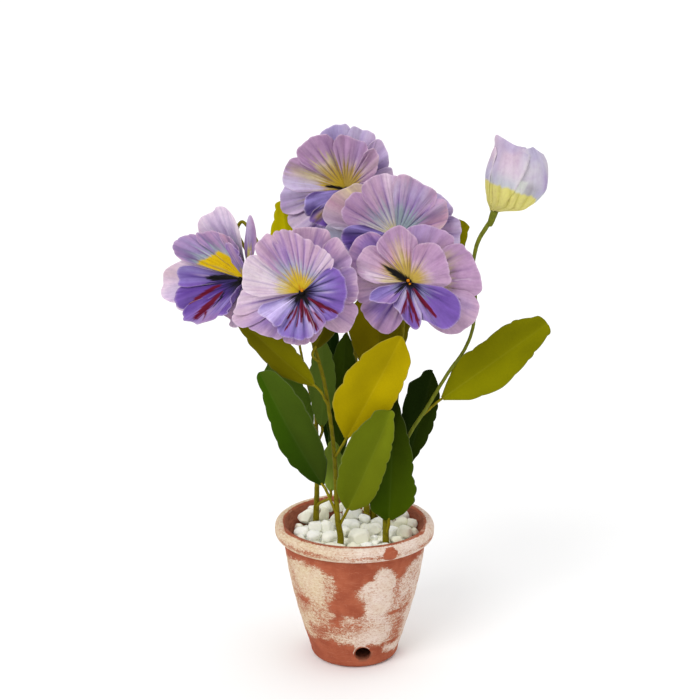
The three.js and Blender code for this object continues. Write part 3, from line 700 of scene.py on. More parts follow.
def joined(parts):
    """Several closed grids as one mesh: points, faces with caps at both ends, and colours. Each
    part is a grid of points and a grid of colours."""
    points, faces, colours, first = [], [], [], 0
    for grid, paint in parts:
        rows, sides = grid.shape[:2]
        last = first + (rows - 1) * sides
        faces.append(grid_faces(rows, sides, closed=True, first=first)[:, ::-1])
        faces.append((first + np.arange(sides))[None, :])
        faces.append((last + np.arange(sides))[None, ::-1])
        points.append(grid.reshape(-1, 3))
        colours.append(paint.reshape(-1, 3))
        first += rows * sides
    return np.concatenate(points), faces, np.concatenate(colours)


print("curve helpers ready")

# %% [markdown]
# ## Dyes
#
# The petals are dyed by hand with a brush, from a pale centre outwards, so the same few dyes
# return in every flower. They are named here once.

# %% Name the dyes
DYE = {
    "white_pink": (232, 213, 226), "pink": (206, 175, 195), "rose": (200, 156, 176), "mauve": (184, 149, 182),
    "lilac": (170, 146, 190), "pale_lilac": (200, 188, 216), "lavender": (154, 139, 203),
    "violet": (124, 93, 172), "deep_violet": (86, 54, 138), "indigo": (56, 44, 96), "slate": (132, 132, 166),
    "blue_grey": (170, 177, 190), "teal": (160, 179, 182), "ice": (216, 202, 244), "plum": (116, 82, 132),
    "yellow": (212, 182, 36), "gold": (224, 190, 6), "ochre": (194, 167, 74), "cream": (220, 206, 152),
    "lemon": (224, 218, 124), "beige": (202, 176, 184), "white": (226, 222, 214), "black": (20, 17, 18),
    "wine": (104, 14, 42), "orange": (206, 126, 16), "tape": (122, 113, 6), "green_tape": (108, 114, 28),
}
DYE = {name: np.array(rgb(*screen)) for name, screen in DYE.items()}
print("dyes:", len(DYE))

# %% [markdown]
# ## Where the petals go
#
# Each flower has its throat at a point and looks along a direction. A petal is a sector that fans
# out from the throat between two angles, counted anticlockwise from the right as seen from the
# front. Its row gives: first angle, last angle, place along the axis, lean at either end in
# degrees, its reach in millimetres at even steps of the angle, and the angles at which it is
# parted into lobes, each lying a little over the next.

# %% Table of petals
FLOWERS = {
    "left": ((-78, 0, 277), (-0.655, -0.727, 0.208), {
        "back_upper": (86, 146, -3.8, 19, 19, [28, 44, 50, 49, 48, 44], []),
        "back_right": (-50, 87, -5.2, 12, 14,
                       [22, 25, 27, 28, 28, 27, 26, 25, 23, 22, 20, 19, 18, 18, 21, 30, 45, 30],
                       [66]),
        "back_lower": (148, 300, -5.2, 20, 14, [36, 47, 63, 52, 30, 27, 33, 28], [207, 245]),
        "fan_upper": (75, 170, -2.4, 28, 30, [18, 27, 33, 37, 45, 47], [112, 138]),
        "fan_right": (-8, 105, -1, 44, 42, [21, 27, 25, 24, 25, 23, 14], [30]),
        "lip": (171, 345, 0.4, 31, 48, [36, 37, 38, 38, 36, 31, 26, 28, 27, 18], [197, 225, 281]),
    }),
    "front": ((-35, -52, 279), (0.033, -0.977, 0.211), {
        "back_upper": (-58, 108, -3.8, 3, 5, [30, 39, 39, 37, 37, 38, 40, 43, 43, 42, 38], [-11, 28, 61]),
        "back_lower": (172, 308, -5.2, 1, 1, [38, 42, 48, 40, 36, 34, 34, 34, 30, 24], [198, 211, 247, 279]),
        "fan_left": (134, 186, -2.4, 18, 18, [35, 41, 41, 39, 38, 33], []),
        "fan_top": (38, 141, -1, 21, 20, [30, 30, 31, 33, 36, 41, 43, 43, 40], [118]),
        "lip": (196, 404, 0.4, 24, 26, [32, 29, 27, 30, 30, 30, 29, 26, 26, 28, 29, 29, 29, 28, 26],
                [234, 287, 309]),
    }),
    "right": ((36, -32, 282), (-0.039, -0.978, 0.204), {
        "back_left": (118, 262, -5.2, 1, 1, [38, 44, 45, 40, 36, 36, 37, 38, 38, 30], [171, 205]),
        "back_right": (-64, 100, -3.8, 3, 3, [37, 46, 50, 48.5, 47.5, 45.5, 43, 41, 40, 38, 34], [-12, 41]),
        "fan_left": (72, 184, -2.4, 20, 18, [25, 31, 37, 36, 34, 36, 37, 34, 27], [133]),
        "fan_right": (-14, 84, -1, 22, 22, [22, 27, 27, 28, 30, 30, 27, 25], []),
        "lip": (190, 352, 0.4, 26, 26, [25, 28, 22, 19, 20, 25, 31, 28, 38.5, 40, 36, 27], [233, 289]),
    }),
    "middle": ((29, 8, 305), (-0.031, -0.984, 0.175), {
        "back_left": (118, 262, -5.2, 0, 0, [44, 48, 53, 53, 46, 40, 39, 38, 36, 32], [170, 211]),
        "back_right": (-80, 62, -3.8, 2, 2, [34, 37, 38, 39, 42, 44, 43, 41, 38], [-23, 22]),
        "fan_left": (80, 170, -2.4, 17, 17, [38, 42, 44, 42, 42, 41, 36], [129]),
        "fan_right": (4, 96, -1, 19, 19, [26, 36, 40, 40, 40, 42, 42], [44]),
        "lip": (160, 354, 0.4, 22, 18, [30, 37, 35, 29, 27, 27, 26, 26, 26, 26, 30, 32, 27], [214, 262, 310]),
    }),
    "top": ((-6, 36, 334), (0.003, -0.99, 0.143), {
        "back_upper": (2, 122, -3.8, 3, 3, [30, 34, 35, 40, 43, 43, 45, 44, 41], [27, 59, 86]),
        "back_lower": (168, 350, -5.2, 1, 1, [41, 46, 47, 46, 43, 40, 37, 36, 36, 34, 30], [203, 247, 293]),
        "fan_left": (100, 184, -2.4, 18, 18, [36, 41, 43, 43, 44, 44, 41], [147]),
        "fan_right": (20, 108, -1, 21, 20, [20, 26, 33, 34, 35, 37, 36], [60]),
        "lip": (184, 378, 0.4, 24, 24, [27, 31, 33, 30, 28, 32, 33, 30, 28, 28, 26, 22], [216, 262, 318]),
    }),
}
print("petals:", {name: len(petals) for name, (_, _, petals) in FLOWERS.items()})

# %% [markdown]
# ## How each petal is folded and dyed
#
# A look is written like a dyer's note: the petal's name, and under it what to do, in entries with
# commas between them. The two functions further down read them.
#
# - fold: the pleats' width in degrees, their depth as a share of the radius, and how broad waves
#   and the rippled edge are in millimetres
# - crease: the dye in the valleys, which also serves as painted shade in the folds
# - ray: how raggedly the dyes run outwards; lit: how pale a fold's sunny side is
# - calm: where the pleats are left out (angle, spread)
# - base: dyes by share of the way from throat to edge
# - tint: soft patches (angle, half-width in degrees, dye, amount, from share, to share if it stops)
# - patch: areas with a brushed border (dye, then angle and radius of each corner)
# - mark: crisp strokes (dye, width in mm, then angle and radius of each point)

# %% Table of looks
# In top_lip, the indigo tint at 211 degrees is partly painted shadow under the curled edge and partly the
# curl's darker inside.
NOTES = """
front_back_upper
 fold 17 .022 .9 1.2; crease violet
 base 0 lilac, .6 lilac, .85 mauve, 1 pink
 tint -45 26 pink .85 .4, 4 16 violet .42 .3 .95, 28 14 lilac .6 .3, 84 14 pink .5 .5
 tint 60 12 violet .22 .3 .8, -20 12 mauve .7 .3
front_back_lower
 fold 14 .03 1.4 1.7; crease violet
 base 0 lilac, .6 lilac, .8 pink, 1 pink
 tint 184 16 white_pink .9 .3, 214 10 lilac .6 .6, 226 14 violet .5 .3 .9
 tint 262 9 violet .6 .4 .95, 240 12 lilac .6 .6, 286 12 mauve .7 .4
front_fan_left
 fold 6 .008 .7 .9; crease lilac; ray .2; lit .7
 base 0 yellow, .2 yellow, .34 cream, .46 white_pink, 1 white_pink
 tint 146 9 blue_grey .6 .35 .62, 184 5 yellow .6 .1 .42, 160 20 white .35 .5
 tint 176 8 pink .4 .5 .9
front_fan_top
 fold 9.5 .03 .8 1.3; crease violet; ray .26
 base 0 orange, .06 yellow, .3 yellow, .44 blue_grey, .62 mauve, 1 pink
 tint 52 14 white_pink .8 .55, 74 9 pink .6 .6, 92 10 mauve .5 .55, 114 6 violet .5 .42 .85
 tint 46 8 slate .35 .3 .6, 66 7 slate .35 .3 .7
front_lip
 fold 16 .07 1.8 1.6; crease indigo; ray .22; calm 214 12
 base 0 black, .15 black, .26 indigo, .38 slate, .5 lavender, .9 violet, 1 violet
 tint 202 8 lavender .75 .35, 214 13 ice 1 .25, 226 4 slate .4 .2 .7, 240 8 lavender .7 .4
 tint 262 10 lavender .8 .35 .95, 284 6 pale_lilac .6 .35, 301 7 mauve .7 .5
 tint 345 20 violet .8 .35, 385 10 deep_violet .35 .3 .8, 334 6 deep_violet .6 .3 .8
 mark wine 2.7 270 5 271 12 269 19, wine 2.9 278 8 288 18 292 26, wine 2.6 318 6 326 14 330 27
 mark wine 1.6 300 14 305 23, wine 1.7 252 10 251 18 246 26, wine 1 264 12 262 22, black 3 240 1 236 7
 mark black 2.8 292 1 298 10, wine 1.1 244 13 241 19, wine 1.2 324 8 319 20
right_back_left
 fold 15 .04 1.4 1.5; crease deep_violet
 base 0 lilac, .7 lilac, 1 mauve
 tint 136 20 violet .55 .3 1, 186 16 pink .8 .3, 225 10 violet .75 .3 .85, 250 14 mauve .9 .3
 tint 258 8 yellow .55 .2 .62, 176 10 cream .4 .3 .75
right_back_right
 fold 13 .014 .8 1.1; crease plum; ray .14
 base 0 cream, .5 cream, .66 mauve, 1 mauve
 tint 78 22 lilac .8 .3, 34 12 cream .55 .45 .78, 10 16 mauve .4 .6, -30 20 pink .8 .4
 tint -22 8 lilac .6 .5 .9, -58 14 pink .6 .4
 mark white_pink .7 2 24 3 36 2 46, plum .6 -14 28 -19 36
right_fan_left
 fold 10 .02 .8 1.2; crease plum; ray .3
 base 0 ochre, .38 ochre, .6 rose, .75 mauve, 1 mauve
 tint 172 12 white_pink .8 .35 .95, 180 7 cream .9 .1 .7, 108 10 cream .45 .3 .75
 tint 146 12 pink .6 .6, 90 8 pink .5 .6
 patch black 60 3 112 4 134 9.5 142 15.5 148 23.5 155 15 164 9.5 186 4 240 3
right_fan_right
 fold 13 .016 .8 1.2; crease plum; ray .12; lit .1; calm 20 22
 base 0 ochre, .24 ochre, .5 beige, .62 mauve, 1 mauve
 tint -4 14 pink .5 .5, 40 16 mauve .6 .4, 68 12 rose .3 .4
right_lip
 fold 15 .07 1.9 1.8; crease indigo; ray .2; calm 200 12, 320 12
 base 0 black, .11 black, .2 indigo, .34 slate, .55 violet, 1 violet
 tint 200 16 lavender .85 .4, 222 10 mauve .45 .6, 250 10 pale_lilac .7 .25
 tint 290 4 pale_lilac .7 .3, 300 6 pale_lilac .4 .3 .9, 322 14 violet .9 .4
 tint 338 8 deep_violet .45 .3 .75, 262 10 violet .5 .75, 326 20 deep_violet .3 .35
 mark wine 2.3 258 6 273 13.5 281 20 285 26, wine 3 303 6 306 18.5 308 29, wine 2.1 262 12 260 21
 mark black 2.2 218 4 222 12, wine 1.4 276 14 284 31, wine 1 264 10 257 23, wine 1.2 268 16 276 27
middle_back_left
 fold 15 .03 1.7 1.8; crease plum
 base 0 cream, .4 beige, .75 beige, 1 beige
 tint 136 14 cream .7 .6, 152 9 rose .8 .4, 178 16 blue_grey .9 .4, 206 20 pale_lilac .9 .4
 tint 166 6 mauve .5 .6, 240 18 lilac .9 .4
 mark plum .7 152 26 155 42
middle_back_right
 fold 15 .03 1.3 1.5; crease violet
 base 0 lilac, .7 lilac, 1 pale_lilac
 tint 30 20 lilac .5 .4, -20 20 pale_lilac .5 .5, 8 8 mauve .4 .5 1
middle_fan_left
 fold 10 .035 .9 1.4; crease violet; ray .26
 base 0 yellow, .1 lemon, .25 white, .45 blue_grey, .62 mauve, 1 mauve
 tint 150 12 mauve .7 .5, 160 9 white .8 .2 .6, 166 6 lemon .7 .1 .5, 118 9 pink .7 .5
 tint 98 8 white_pink .7 .35
middle_fan_right
 fold 11.5 .034 1.2 2; crease violet; ray .24
 base 0 ochre, .08 teal, .42 teal, .6 lilac, .8 pale_lilac, 1 pink
 tint 20 14 rose .9 .5, 8 6 cream .6 .82, 28 6 plum .35 .5 .9, 66 12 lilac .6 .5
 tint 44 8 mauve .7 .5, 84 8 pink .5 .6
middle_lip
 fold 18 .07 1.9 1.8; crease indigo
 base 0 indigo, .3 deep_violet, .8 deep_violet, 1 violet
 tint 170 8 lavender .9 .2, 192 9 indigo .6 .3 1
top_back_upper
 fold 13 .02 1.1 1.6; crease violet
 base 0 lilac, .6 pale_lilac, 1 pale_lilac
 tint 104 12 lavender .5 .5, 56 14 mauve .5 .5, 12 12 pink .9 .3, 80 10 pale_lilac .7 .6
 tint 36 8 violet .4 .5 1
top_back_lower
 fold 10 .028 1.4 1.7; crease violet; ray .24
 base 0 ochre, .4 cream, .58 pale_lilac, 1 lilac
 tint 180 10 pale_lilac .7 .45, 196 9 yellow .55 .2 .62, 212 14 white_pink .7 .5
 tint 232 8 violet .5 .4 .95, 330 14 mauve .7 .4, 345 8 ochre .5 .2 .55, 255 10 lilac .8 .6
top_fan_left
 fold 12 .036 1.3 1.9; crease plum; ray .3; calm 174 16
 base 0 ochre, .1 yellow, .38 ochre, .56 cream, .74 mauve, 1 mauve
 tint 174 12 pale_lilac 1 .36, 160 6 cream .6 .4 .9, 132 8 mauve .6 .55, 112 6 plum .35 .4 1
 tint 146 5 plum .35 .4 .85
 mark black 2.6 172 1 169 8 171 14
top_fan_right
 fold 11 .034 1.2 1.8; crease plum; ray .28
 base 0 ochre, .1 ochre, .32 ochre, .5 beige, .66 mauve, 1 mauve
 tint 40 9 beige .7 .5, 96 8 mauve .7 .45, 72 8 lilac .5 .5, 56 6 pink .5 .55
top_lip
 fold 17 .07 2 1.8; crease violet; calm 200 16
 base 0 black, .1 indigo, .3 lavender, .66 lavender, .8 violet, 1 violet
 tint 198 13 lavender 1 .12, 211 7 indigo .95 .68, 225 5 ochre .8 .5 .9, 242 10 deep_violet .9 .35
 tint 350 24 lavender .9 .2
left_back_upper
 fold 13 .016 1 1.2; crease lilac; ray .2
 base 0 cream, .4 blue_grey, .62 pale_lilac, 1 white_pink
 tint 118 9 lilac .4 .5 .98, 142 6 beige .5 .6, 90 5 white .5 .3
left_back_right
 fold 12 .03 1 1.3; crease violet
 base 0 cream, .5 lemon, .6 lilac, 1 mauve
 tint 40 14 lilac .6 .4, 82 4 pale_lilac .7 .6
left_back_lower
 fold 14 .02 1.5 1.8; crease lilac
 base 0 slate, .5 blue_grey, .72 pale_lilac, 1 white_pink
 tint 182 9 beige .7 .6, 206 8 lilac .7 .75 1, 256 16 rose .6 .4, 234 10 violet .4 .5
left_fan_upper
 fold 10 .024 1.1 1.5; crease plum; ray .3
 base 0 ochre, .3 teal, .6 teal, .72 slate, .9 lilac, 1 mauve
 tint 102 10 rose .6 .5, 126 7 mauve .7 .6, 132 6 plum .35 .6 .95, 152 12 lilac .6 .7
 tint 163 5 plum .5 .6 1
 patch gold 116 14 130 23 150 25 165 31 170 30 172 3 112 3
 mark ochre 1.1 162 8 163 26, ochre .8 140 8 143 22
left_fan_right
 fold 14 .04 .8 1.2; crease deep_violet
 base 0 yellow, .22 ochre, .36 slate, .6 lilac, 1 violet
 tint 74 12 mauve .9 .4, 20 12 violet .7 .5, 100 12 lilac .8 .3, 48 8 plum .6 .4 1
left_lip
 fold 19 .075 1.9 1.8; crease indigo; ray .2
 base 0 black, .12 black, .24 indigo, .45 deep_violet, .7 violet, 1 violet
 tint 178 9 slate .45 .3, 190 5 lavender .6 .4, 184 4 deep_violet .6 .3 .95
 tint 206 8 deep_violet .75 .35 1, 226 9 deep_violet .5 .4 1.1, 252 9 lilac .8 .6
 tint 268 9 mauve .6 .7, 274 10 lavender .6 .35 .8, 296 9 deep_violet .7 .3 .9
 tint 318 16 violet .8 .3
 mark wine 2.7 204 12.5 214 21 222 31.5, wine 3.8 232 14 238 21 241 26 245 33.5
 mark wine 2 231 16.5 241 27 259 31, black 5.4 188 1 186 11 187 20.5, indigo 2.4 200 4 199 22
 mark black 1.6 234 12 250 22
"""
TO_THE_EDGE = 1.2  # the share at which a tint ends that doesn't stop before the edge


def read_notes(notes):
    """The entries by name: a line at the margin names a petal or leaf, and each part of a line
    under it is a kind of entry with its entries. Words that don't start with a letter are numbers."""
    looks = {}
    for line in notes.strip().splitlines():
        if not line.startswith(" "):
            look = looks[line] = {}
            continue
        for part in line.split(";"):
            kind, entries = part.split(None, 1)
            for entry in entries.split(","):
                words = [word if word[0].isalpha() else float(word) for word in entry.split()]
                if kind == "tint":
                    words = (words + [TO_THE_EDGE])[:6]
                look.setdefault(kind, []).append(words)
    return looks


LOOKS = read_notes(NOTES)
missing = {f"{f}_{p}" for f, row in FLOWERS.items() for p in row[2]} ^ set(LOOKS)
print("looks:", len(LOOKS), "unmatched:", sorted(missing))

# %% [markdown]
# ## Folding a petal
#
# A pleat is a soft ridge between two sharp valleys, so its section is the absolute value of a
# sine. Hand-made pleats are uneven: the valleys are set at random steps about the wished width,
# and each has its own depth. Lips have fewer and deeper folds, and every petal's edge waves.

# %% Fold function
HUB_IN = 1.1  # radius where the claws of the petals meet
CAD_HUB_START = 3.3
CLAW = 0.12  # how much narrower a petal is at its claw
RIM_LIFT = 2.0  # forward flare of the edge
FINE_PLEAT = 10  # pleats narrower than this many degrees run out to the edge
LOBE_OVERLAP = 3.5  # degrees by which a lobe goes past its end over the next one
LOBE_STEP = 0.9  # how far its ends stand to the front and back, in mm
LOBE_CORNER = 11  # degrees over which its outline rounds off
ANGLE_STEP = 0.8
RADIUS_STEP = 0.75


def fold_petal(start, end, angle, radius, along, fold, calm, rng):
    """The height of the folds in millimetres towards the front, how deep in a valley each point
    lies, from 0 to 1, and on which flank of its pleat, from -1 to 1. Valleys stand at random
    steps of about the pleat's width. Each is (1 - |sin|) to the power 1.6 of the way to the next,
    and deepens with the radius. Broad waves and a ripple that grows towards the edge are added.
    Where calm is 1 the pleats are left out."""
    width, depth, wave, ripple = fold
    steps = rng.uniform(0.65, 1.35, int(3 * (end - start) / width) + 8)
    places = start - width + np.concatenate([[0], np.cumsum(steps)]) * width
    strength = rng.uniform(0.35, 1.25, len(places) + 2)
    bend = 2.2 * np.sin(np.radians(angle * 7 + rng.uniform(0, 360))) * along**2
    phase = np.interp(angle + bend, places, np.arange(len(places)))
    valley = (1 - np.abs(np.sin(math.pi * phase))) ** 1.6 * strength[np.round(phase).astype(int)]
    fade = 0.35 if width < FINE_PLEAT else 0.72
    valley = valley * ease(0.0, 0.2, along) * (1 - fade * ease(0.45, 1.0, along)) * (1 - calm)
    height = -depth * 1.6 * radius * valley + depth * 0.5 * radius
    turn = np.radians(angle)
    a, b, c, d = rng.uniform(0, 2 * math.pi, 4)
    broad = np.sin(turn * 8.2 + a) + 0.6 * np.sin(turn * 13.7 + b)
    height = height + wave * 0.8 * broad * along * ease(0.1, 0.7, along)
    edge = np.sin(turn * 15.3 + c + along) + 0.7 * np.sin(turn * 24.7 + d)
    height = height + ripple * 0.75 * edge * ease(0.5, 1.05, along)
    fine = np.sin(phase * 2 * math.pi * 2.3 + a) * 0.05 * ease(0.1, 0.4, along) * (1 - ease(0.6, 1, along))
    flank = np.sin(2 * math.pi * phase) * strength[np.floor(phase).astype(int)] * ease(0.08, 0.3, along)
    flank = flank * (1 - calm) * (1 - fade * ease(0.4, 0.95, along))
    return height + fine * radius / 20, np.clip(valley, 0, 1), flank


# %% [markdown]
# ## Dyeing a petal, with painted shade and light
#
# The dye is worked out for every point of the grid: first the base by its share of the way out,
# pushed back and forth by rays of noise so that the bands end in brush strokes, then the soft
# tints, the darker valleys, which are dye and painted shade, the painted shade and highlight on
# the two flanks of each pleat, the crisp marks with frayed edges, and last a paler cut edge, which
# is painted light along the thin edge.

# %% Dye function
RAGGED = 0.16  # how raggedly dyes run outwards where a look doesn't say
LIT = 0.3  # how pale a fold's sunny side is where a look doesn't say
SOFT = 0.12  # share of the way over which a tint starts and stops


def single(look, kind, otherwise=None):
    """The one value of a kind of entry that has only one."""
    return look[kind][0][0] if kind in look else otherwise


def on_flat(polar):
    """Points given as angle and radius in turn, as x and y on the flat pattern."""
    degrees, radius = np.array(polar, float).reshape(-1, 2).T
    return np.stack([radius * np.cos(np.radians(degrees)), radius * np.sin(np.radians(degrees))], axis=1)


def dye_and_shade_petal(look, angle, radius, along, from_edge, valley, flank, seed):
    """The petal's colour at each point, as linear red, green and blue. from_edge is the distance
    to the cut edge in millimetres."""
    ray = cloud(angle / 1.5 + 200, radius / 15 + 9, seed)
    fine = cloud(angle / 0.85 + 400, radius / 4.5 + 9, seed + 1)
    turn = np.radians(angle)
    flat_x, flat_y = radius * np.cos(turn), radius * np.sin(turn)
    blot = cloud(flat_x / 5 + 50, flat_y / 5 + 50, seed + 2)
    speck = cloud(flat_x / 1.1 + 90, flat_y / 1.1 + 90, seed + 3)
    share = along + single(look, "ray", RAGGED) * (ray - 0.5) + 0.08 * (fine - 0.5) + 0.06 * (blot - 0.5)
    places = [p for p, _ in look["base"]]
    dyes = np.array([DYE[name] for _, name in look["base"]])
    colour = np.stack([np.interp(share, places, dyes[:, k]) for k in range(3)], axis=-1)
    for at, spread, name, amount, low, high in look["tint"]:
        near = np.exp(-(((angle - at) / spread) ** 2)) * (0.75 + 0.5 * ray)
        near = near * ease(low - SOFT, low + SOFT, share) * (1 - ease(high - SOFT, high + SOFT, share))
        colour = blend(colour, DYE[name], amount * near)
    # the crease dye darkens the valleys: partly dye, partly painted shade in the folds
    colour = blend(colour, DYE[single(look, "crease")], 0.9 * valley**1.1 * ease(0.08, 0.3, along))
    tone = 1 + 0.16 * (ray - 0.5) + 0.1 * (fine - 0.5) + 0.1 * (blot - 0.5) + 0.08 * (speck - 0.5)
    # painted shade on each pleat's shaded flank, and below it a painted highlight on its sunny flank
    tone = tone - 0.07 * flank
    lit = ease(0.35, 1.0, -flank) * ease(0.3, 0.6, along)
    colour = blend(colour * tone[..., None], DYE["white_pink"], single(look, "lit", LIT) * lit)
    for name, *corners in look.get("patch", []):
        inside = inside_outline(on_flat(corners), flat_x, flat_y)
        colour = blend(colour, DYE[name], ease(-0.6, 0.6, inside + 1.6 * (fine - 0.5) + 1.2 * (ray - 0.5)))
    for name, width, *points in look.get("mark", []):
        colour = blend(colour, DYE[name], stroke(flat_x, flat_y, width, on_flat(points), fine, ray))
    # painted light: a paler band along the thin cut edge, as of light through the paper
    rim = ease(1.1, 0.1, from_edge) * (0.4 + 1.2 * fine) * ease(0.4, 0.65, along)
    return blend(colour, DYE["white_pink"], 0.28 * rim)


def stroke(x, y, width, line, fine, ray):
    """How much of a brush stroke covers each point: the distance to its line against a half-width
    that swells in the middle of the stroke and frays with the noise."""
    lengths = np.linalg.norm(np.diff(line, axis=0), axis=1)
    before = np.concatenate([[0], np.cumsum(lengths)])
    best, place = np.full(x.shape, 1e9), np.zeros(x.shape)
    for k, length in enumerate(lengths):
        step = (line[k + 1] - line[k]) / length
        reach = np.clip((x - line[k, 0]) * step[0] + (y - line[k, 1]) * step[1], 0, length)
        far = np.hypot(x - line[k, 0] - reach * step[0], y - line[k, 1] - reach * step[1])
        place = np.where(far < best, (before[k] + reach) / before[-1], place)
        best = np.minimum(far, best)
    half = width / 2 * (0.35 + 0.65 * np.sin(math.pi * np.clip(place, 0.02, 0.98)) ** 0.6)
    frayed = (0.7 + 1.0 * place) * (fine - 0.5) + 0.6 * (ray - 0.5)
    return ease(0.38, -0.38, best - half + frayed)


print("folding and dyeing ready")

# %% [markdown]
# ## Paper finish for the petals
#
# The dye sits in the paint attribute. What the shader adds is the paper itself: fibres that run
# outwards, which the flat pattern gives as angle and radius, and the fine grain of crepe.

# %% Petal finish
def petal_finish(name):
    """The painted dye, darkened along fibres, in mottles and in the grain, with a soft sheen."""
    paper = Finish(name, 0.74, 0.12)
    fibre_place = paper.stretched(paper.pattern(), (420, 9, 1))
    fibres = paper.noise(fibre_place, 1.0, 4.0, 0.6)
    grain = paper.noise(paper.place, 1300.0, 3.0, 0.6)
    mottle = paper.noise(paper.place, 300.0, 4.0, 0.65)
    colour = paper.attribute("paint", "Color")
    colour = paper.over(colour, fibres, 0.3, 0.7, 0.5, (0.88, 0.82, 0.88), "MULTIPLY")
    colour = paper.over(colour, mottle, 0.42, 0.72, 0.6, (0.88, 0.8, 0.9), "MULTIPLY")
    colour = paper.over(colour, grain, 0.45, 0.75, 0.5, (0.9, 0.88, 0.93), "MULTIPLY")
    relief = paper.bump(grain, 0.1, 0.5, paper.bump(fibres, 0.25, 0.45))
    paper.shader.inputs["Sheen Weight"].default_value = 0.05
    paper.shader.inputs["Sheen Roughness"].default_value = 0.5
    return paper.wear(colour, relief)


PETAL_FINISH = {kind: petal_finish(f"dyed_paper_{kind}") for kind in ("back", "fan", "lip")}
print("finishes:", sorted(PETAL_FINISH))

# %% [markdown]
# ## Making the petals
#
# A petal is a cone-like sheet: a point goes out by its radius at its angle and forward by the
# lean. Its outline is the reach, rounded at the corners and nicked at every valley. One function
# makes all of them from the two tables.

# %% Make the petals
PETAL_PAPER = 0.45


def lobe_sheet(flower, petal, first, last, look, seed):
    """One lobe's points, flat pattern and colours. A point at an angle and a share of the way
    out lies at throat + radius (right cos + up sin) + forward times the facing direction, with
    forward = level + radius tan(lean) + flare + folds + the lobe's own cup and curl."""
    at, facing, _ = flower
    start, end, level, lean_first, lean_last, reach_row, _ = petal
    out, right, up = flower_axes(facing)
    columns = round((last - first) / ANGLE_STEP) + 1
    rows = round((max(reach_row) - HUB_IN) / RADIUS_STEP) + 1
    across = np.linspace(0, 1, columns)[None, :] + np.zeros((rows, 1))
    along = np.linspace(0, 1, rows)[:, None] + np.zeros((1, columns))
    angle = (first + last) / 2 + (across - 0.5) * (last - first) * (1 - CLAW * (1 - along) ** 2)
    rng = np.random.default_rng(seed)
    of_petal = (angle - start) / (end - start)
    reach = read_smooth(reach_row, of_petal[-1:, :] + np.zeros((rows, 1)))
    from_end = np.minimum(across, 1 - across) * (last - first)
    corner = np.clip(1 - from_end / min(LOBE_CORNER, 0.24 * (last - first)), 0, 1)
    reach = reach * (1 + 0.012 - 0.2 * corner**2.2)
    rough = HUB_IN + (reach - HUB_IN) * along
    calm = sum((np.exp(-(((angle - a) / spread) ** 2)) for a, spread in look.get("calm", [])), 0 * angle)
    calm = np.clip(calm, 0, 0.85)
    fold = look["fold"][0]
    height, valley, flank = fold_petal(first, last, angle, rough, along, fold, calm, rng)
    reach = reach * (1 - 0.04 * valley[-1:, :] * min(1, fold[1] / 0.03))
    reach = reach + 0.9 * (cloud(angle[-1:] / 5.0 + 70, 0 * angle[-1:], seed + 5) - 0.5)
    radius = HUB_IN + (reach - HUB_IN) * along
    lean = np.radians(lean_first + (lean_last - lean_first) * of_petal)
    forward = level + (radius - CAD_HUB_START) * np.tan(lean) + RIM_LIFT * along**3 + height
    cup, curl = rng.uniform(-0.8, 2.0), rng.uniform(-2.6, 1.4)
    forward = forward + cup * (1 - (2 * across - 1) ** 2) * ease(0.2, 0.9, along)
    forward = forward + curl * ease(0.72, 1.05, along) * (0.6 + 0.4 * np.sin(6 * across + seed))
    if (first, last) != (start, end):
        forward = forward + LOBE_STEP * (2 * across - 1) * ease(0.1, 0.6, along)
    turn = np.radians(angle)
    points = (np.array(at, float) + (radius * np.cos(turn))[..., None] * right
              + (radius * np.sin(turn))[..., None] * up + forward[..., None] * out)
    pattern = np.stack([angle / 360, radius / 60], axis=-1)
    from_edge = np.minimum(reach - radius, np.radians(from_end) * radius + 0.3)
    return points, pattern, dye_and_shade_petal(look, angle, radius, along, from_edge, valley, flank, seed)


def pleated_piece(name, lobes, reverse):
    """One sheet from its lobes, each of them a grid of points, of its pattern and of its colours.
    Where reverse is true the faces are turned round, so that they point to the front."""
    faces, count = [], 0
    for points, _, _ in lobes:
        rows, columns = points.shape[:2]
        lobe_faces = grid_faces(rows, columns, first=count)
        faces.append(lobe_faces[:, ::-1] if reverse else lobe_faces)
        count += rows * columns
    points, pattern, paint = (np.concatenate([part.reshape(-1, part.shape[-1]) for part in parts])
                              for parts in zip(*lobes))
    sheet = make_piece(name, points, faces, pattern, paint)
    finish_paper(sheet, PETAL_PAPER)
    return sheet


petal_count = 0
for flower_name, flower in FLOWERS.items():
    for petal_name, petal in flower[2].items():
        node = f"{flower_name}_{petal_name}"
        bounds = [petal[0], *petal[-1], petal[1]]
        lobes = []
        for k in range(len(bounds) - 1):
            first = bounds[k] - (LOBE_OVERLAP if k > 0 else 0)
            last = bounds[k + 1] + (LOBE_OVERLAP if k < len(bounds) - 2 else 0)
            seed = 100 + 7 * petal_count + 1000 * k
            lobes.append(lobe_sheet(flower, petal, first, last, LOOKS[node], seed))
        sheet = pleated_piece(f"pleated_{node}", lobes, True)
        kind = petal_name.split("_")[0]
        stand_for(sheet, f"{flower_name}_flower_{petal_name}", PETAL_FINISH[kind])
        petal_count += 1
print("petals made:", petal_count)

# %% [markdown]
# ## The bud
#
# Three petals are wrapped into a bag on the wire's end, which sags a little to the right. Each is
# a strip of the same bag: a radius read along its height, round a middle line that bends, and its
# own row of heights cuts its upper edge. The front one is made of two lobes, the left of which
# crosses over the other at the top. The lower third is dyed pale yellow.

# %% Make the bud
BUD_AT = np.array([96.0, 5.0, 325.0])
BUD_FACING = (0.31, 0, 0.95)
BUD_SECTION = [2.9, 13.6, 17.8, 19.8, 20.6, 20.6, 19.6, 16.8, 13]  # radius at even steps of the height
BUD_FOOT = 1.6  # how far below the wire's end the petals start
BUD_SAG = 7.2
BUD_HEIGHT = 50.0
BUD_SWELL = 3.6  # how far the right side swells out above, and
BUD_DRAW_IN = 3.0  # how far it draws in below
BUD_FLAT = 2.6  # how far the left side is pressed in
BUD_CREST = 173  # where the sunny crease starts, in degrees
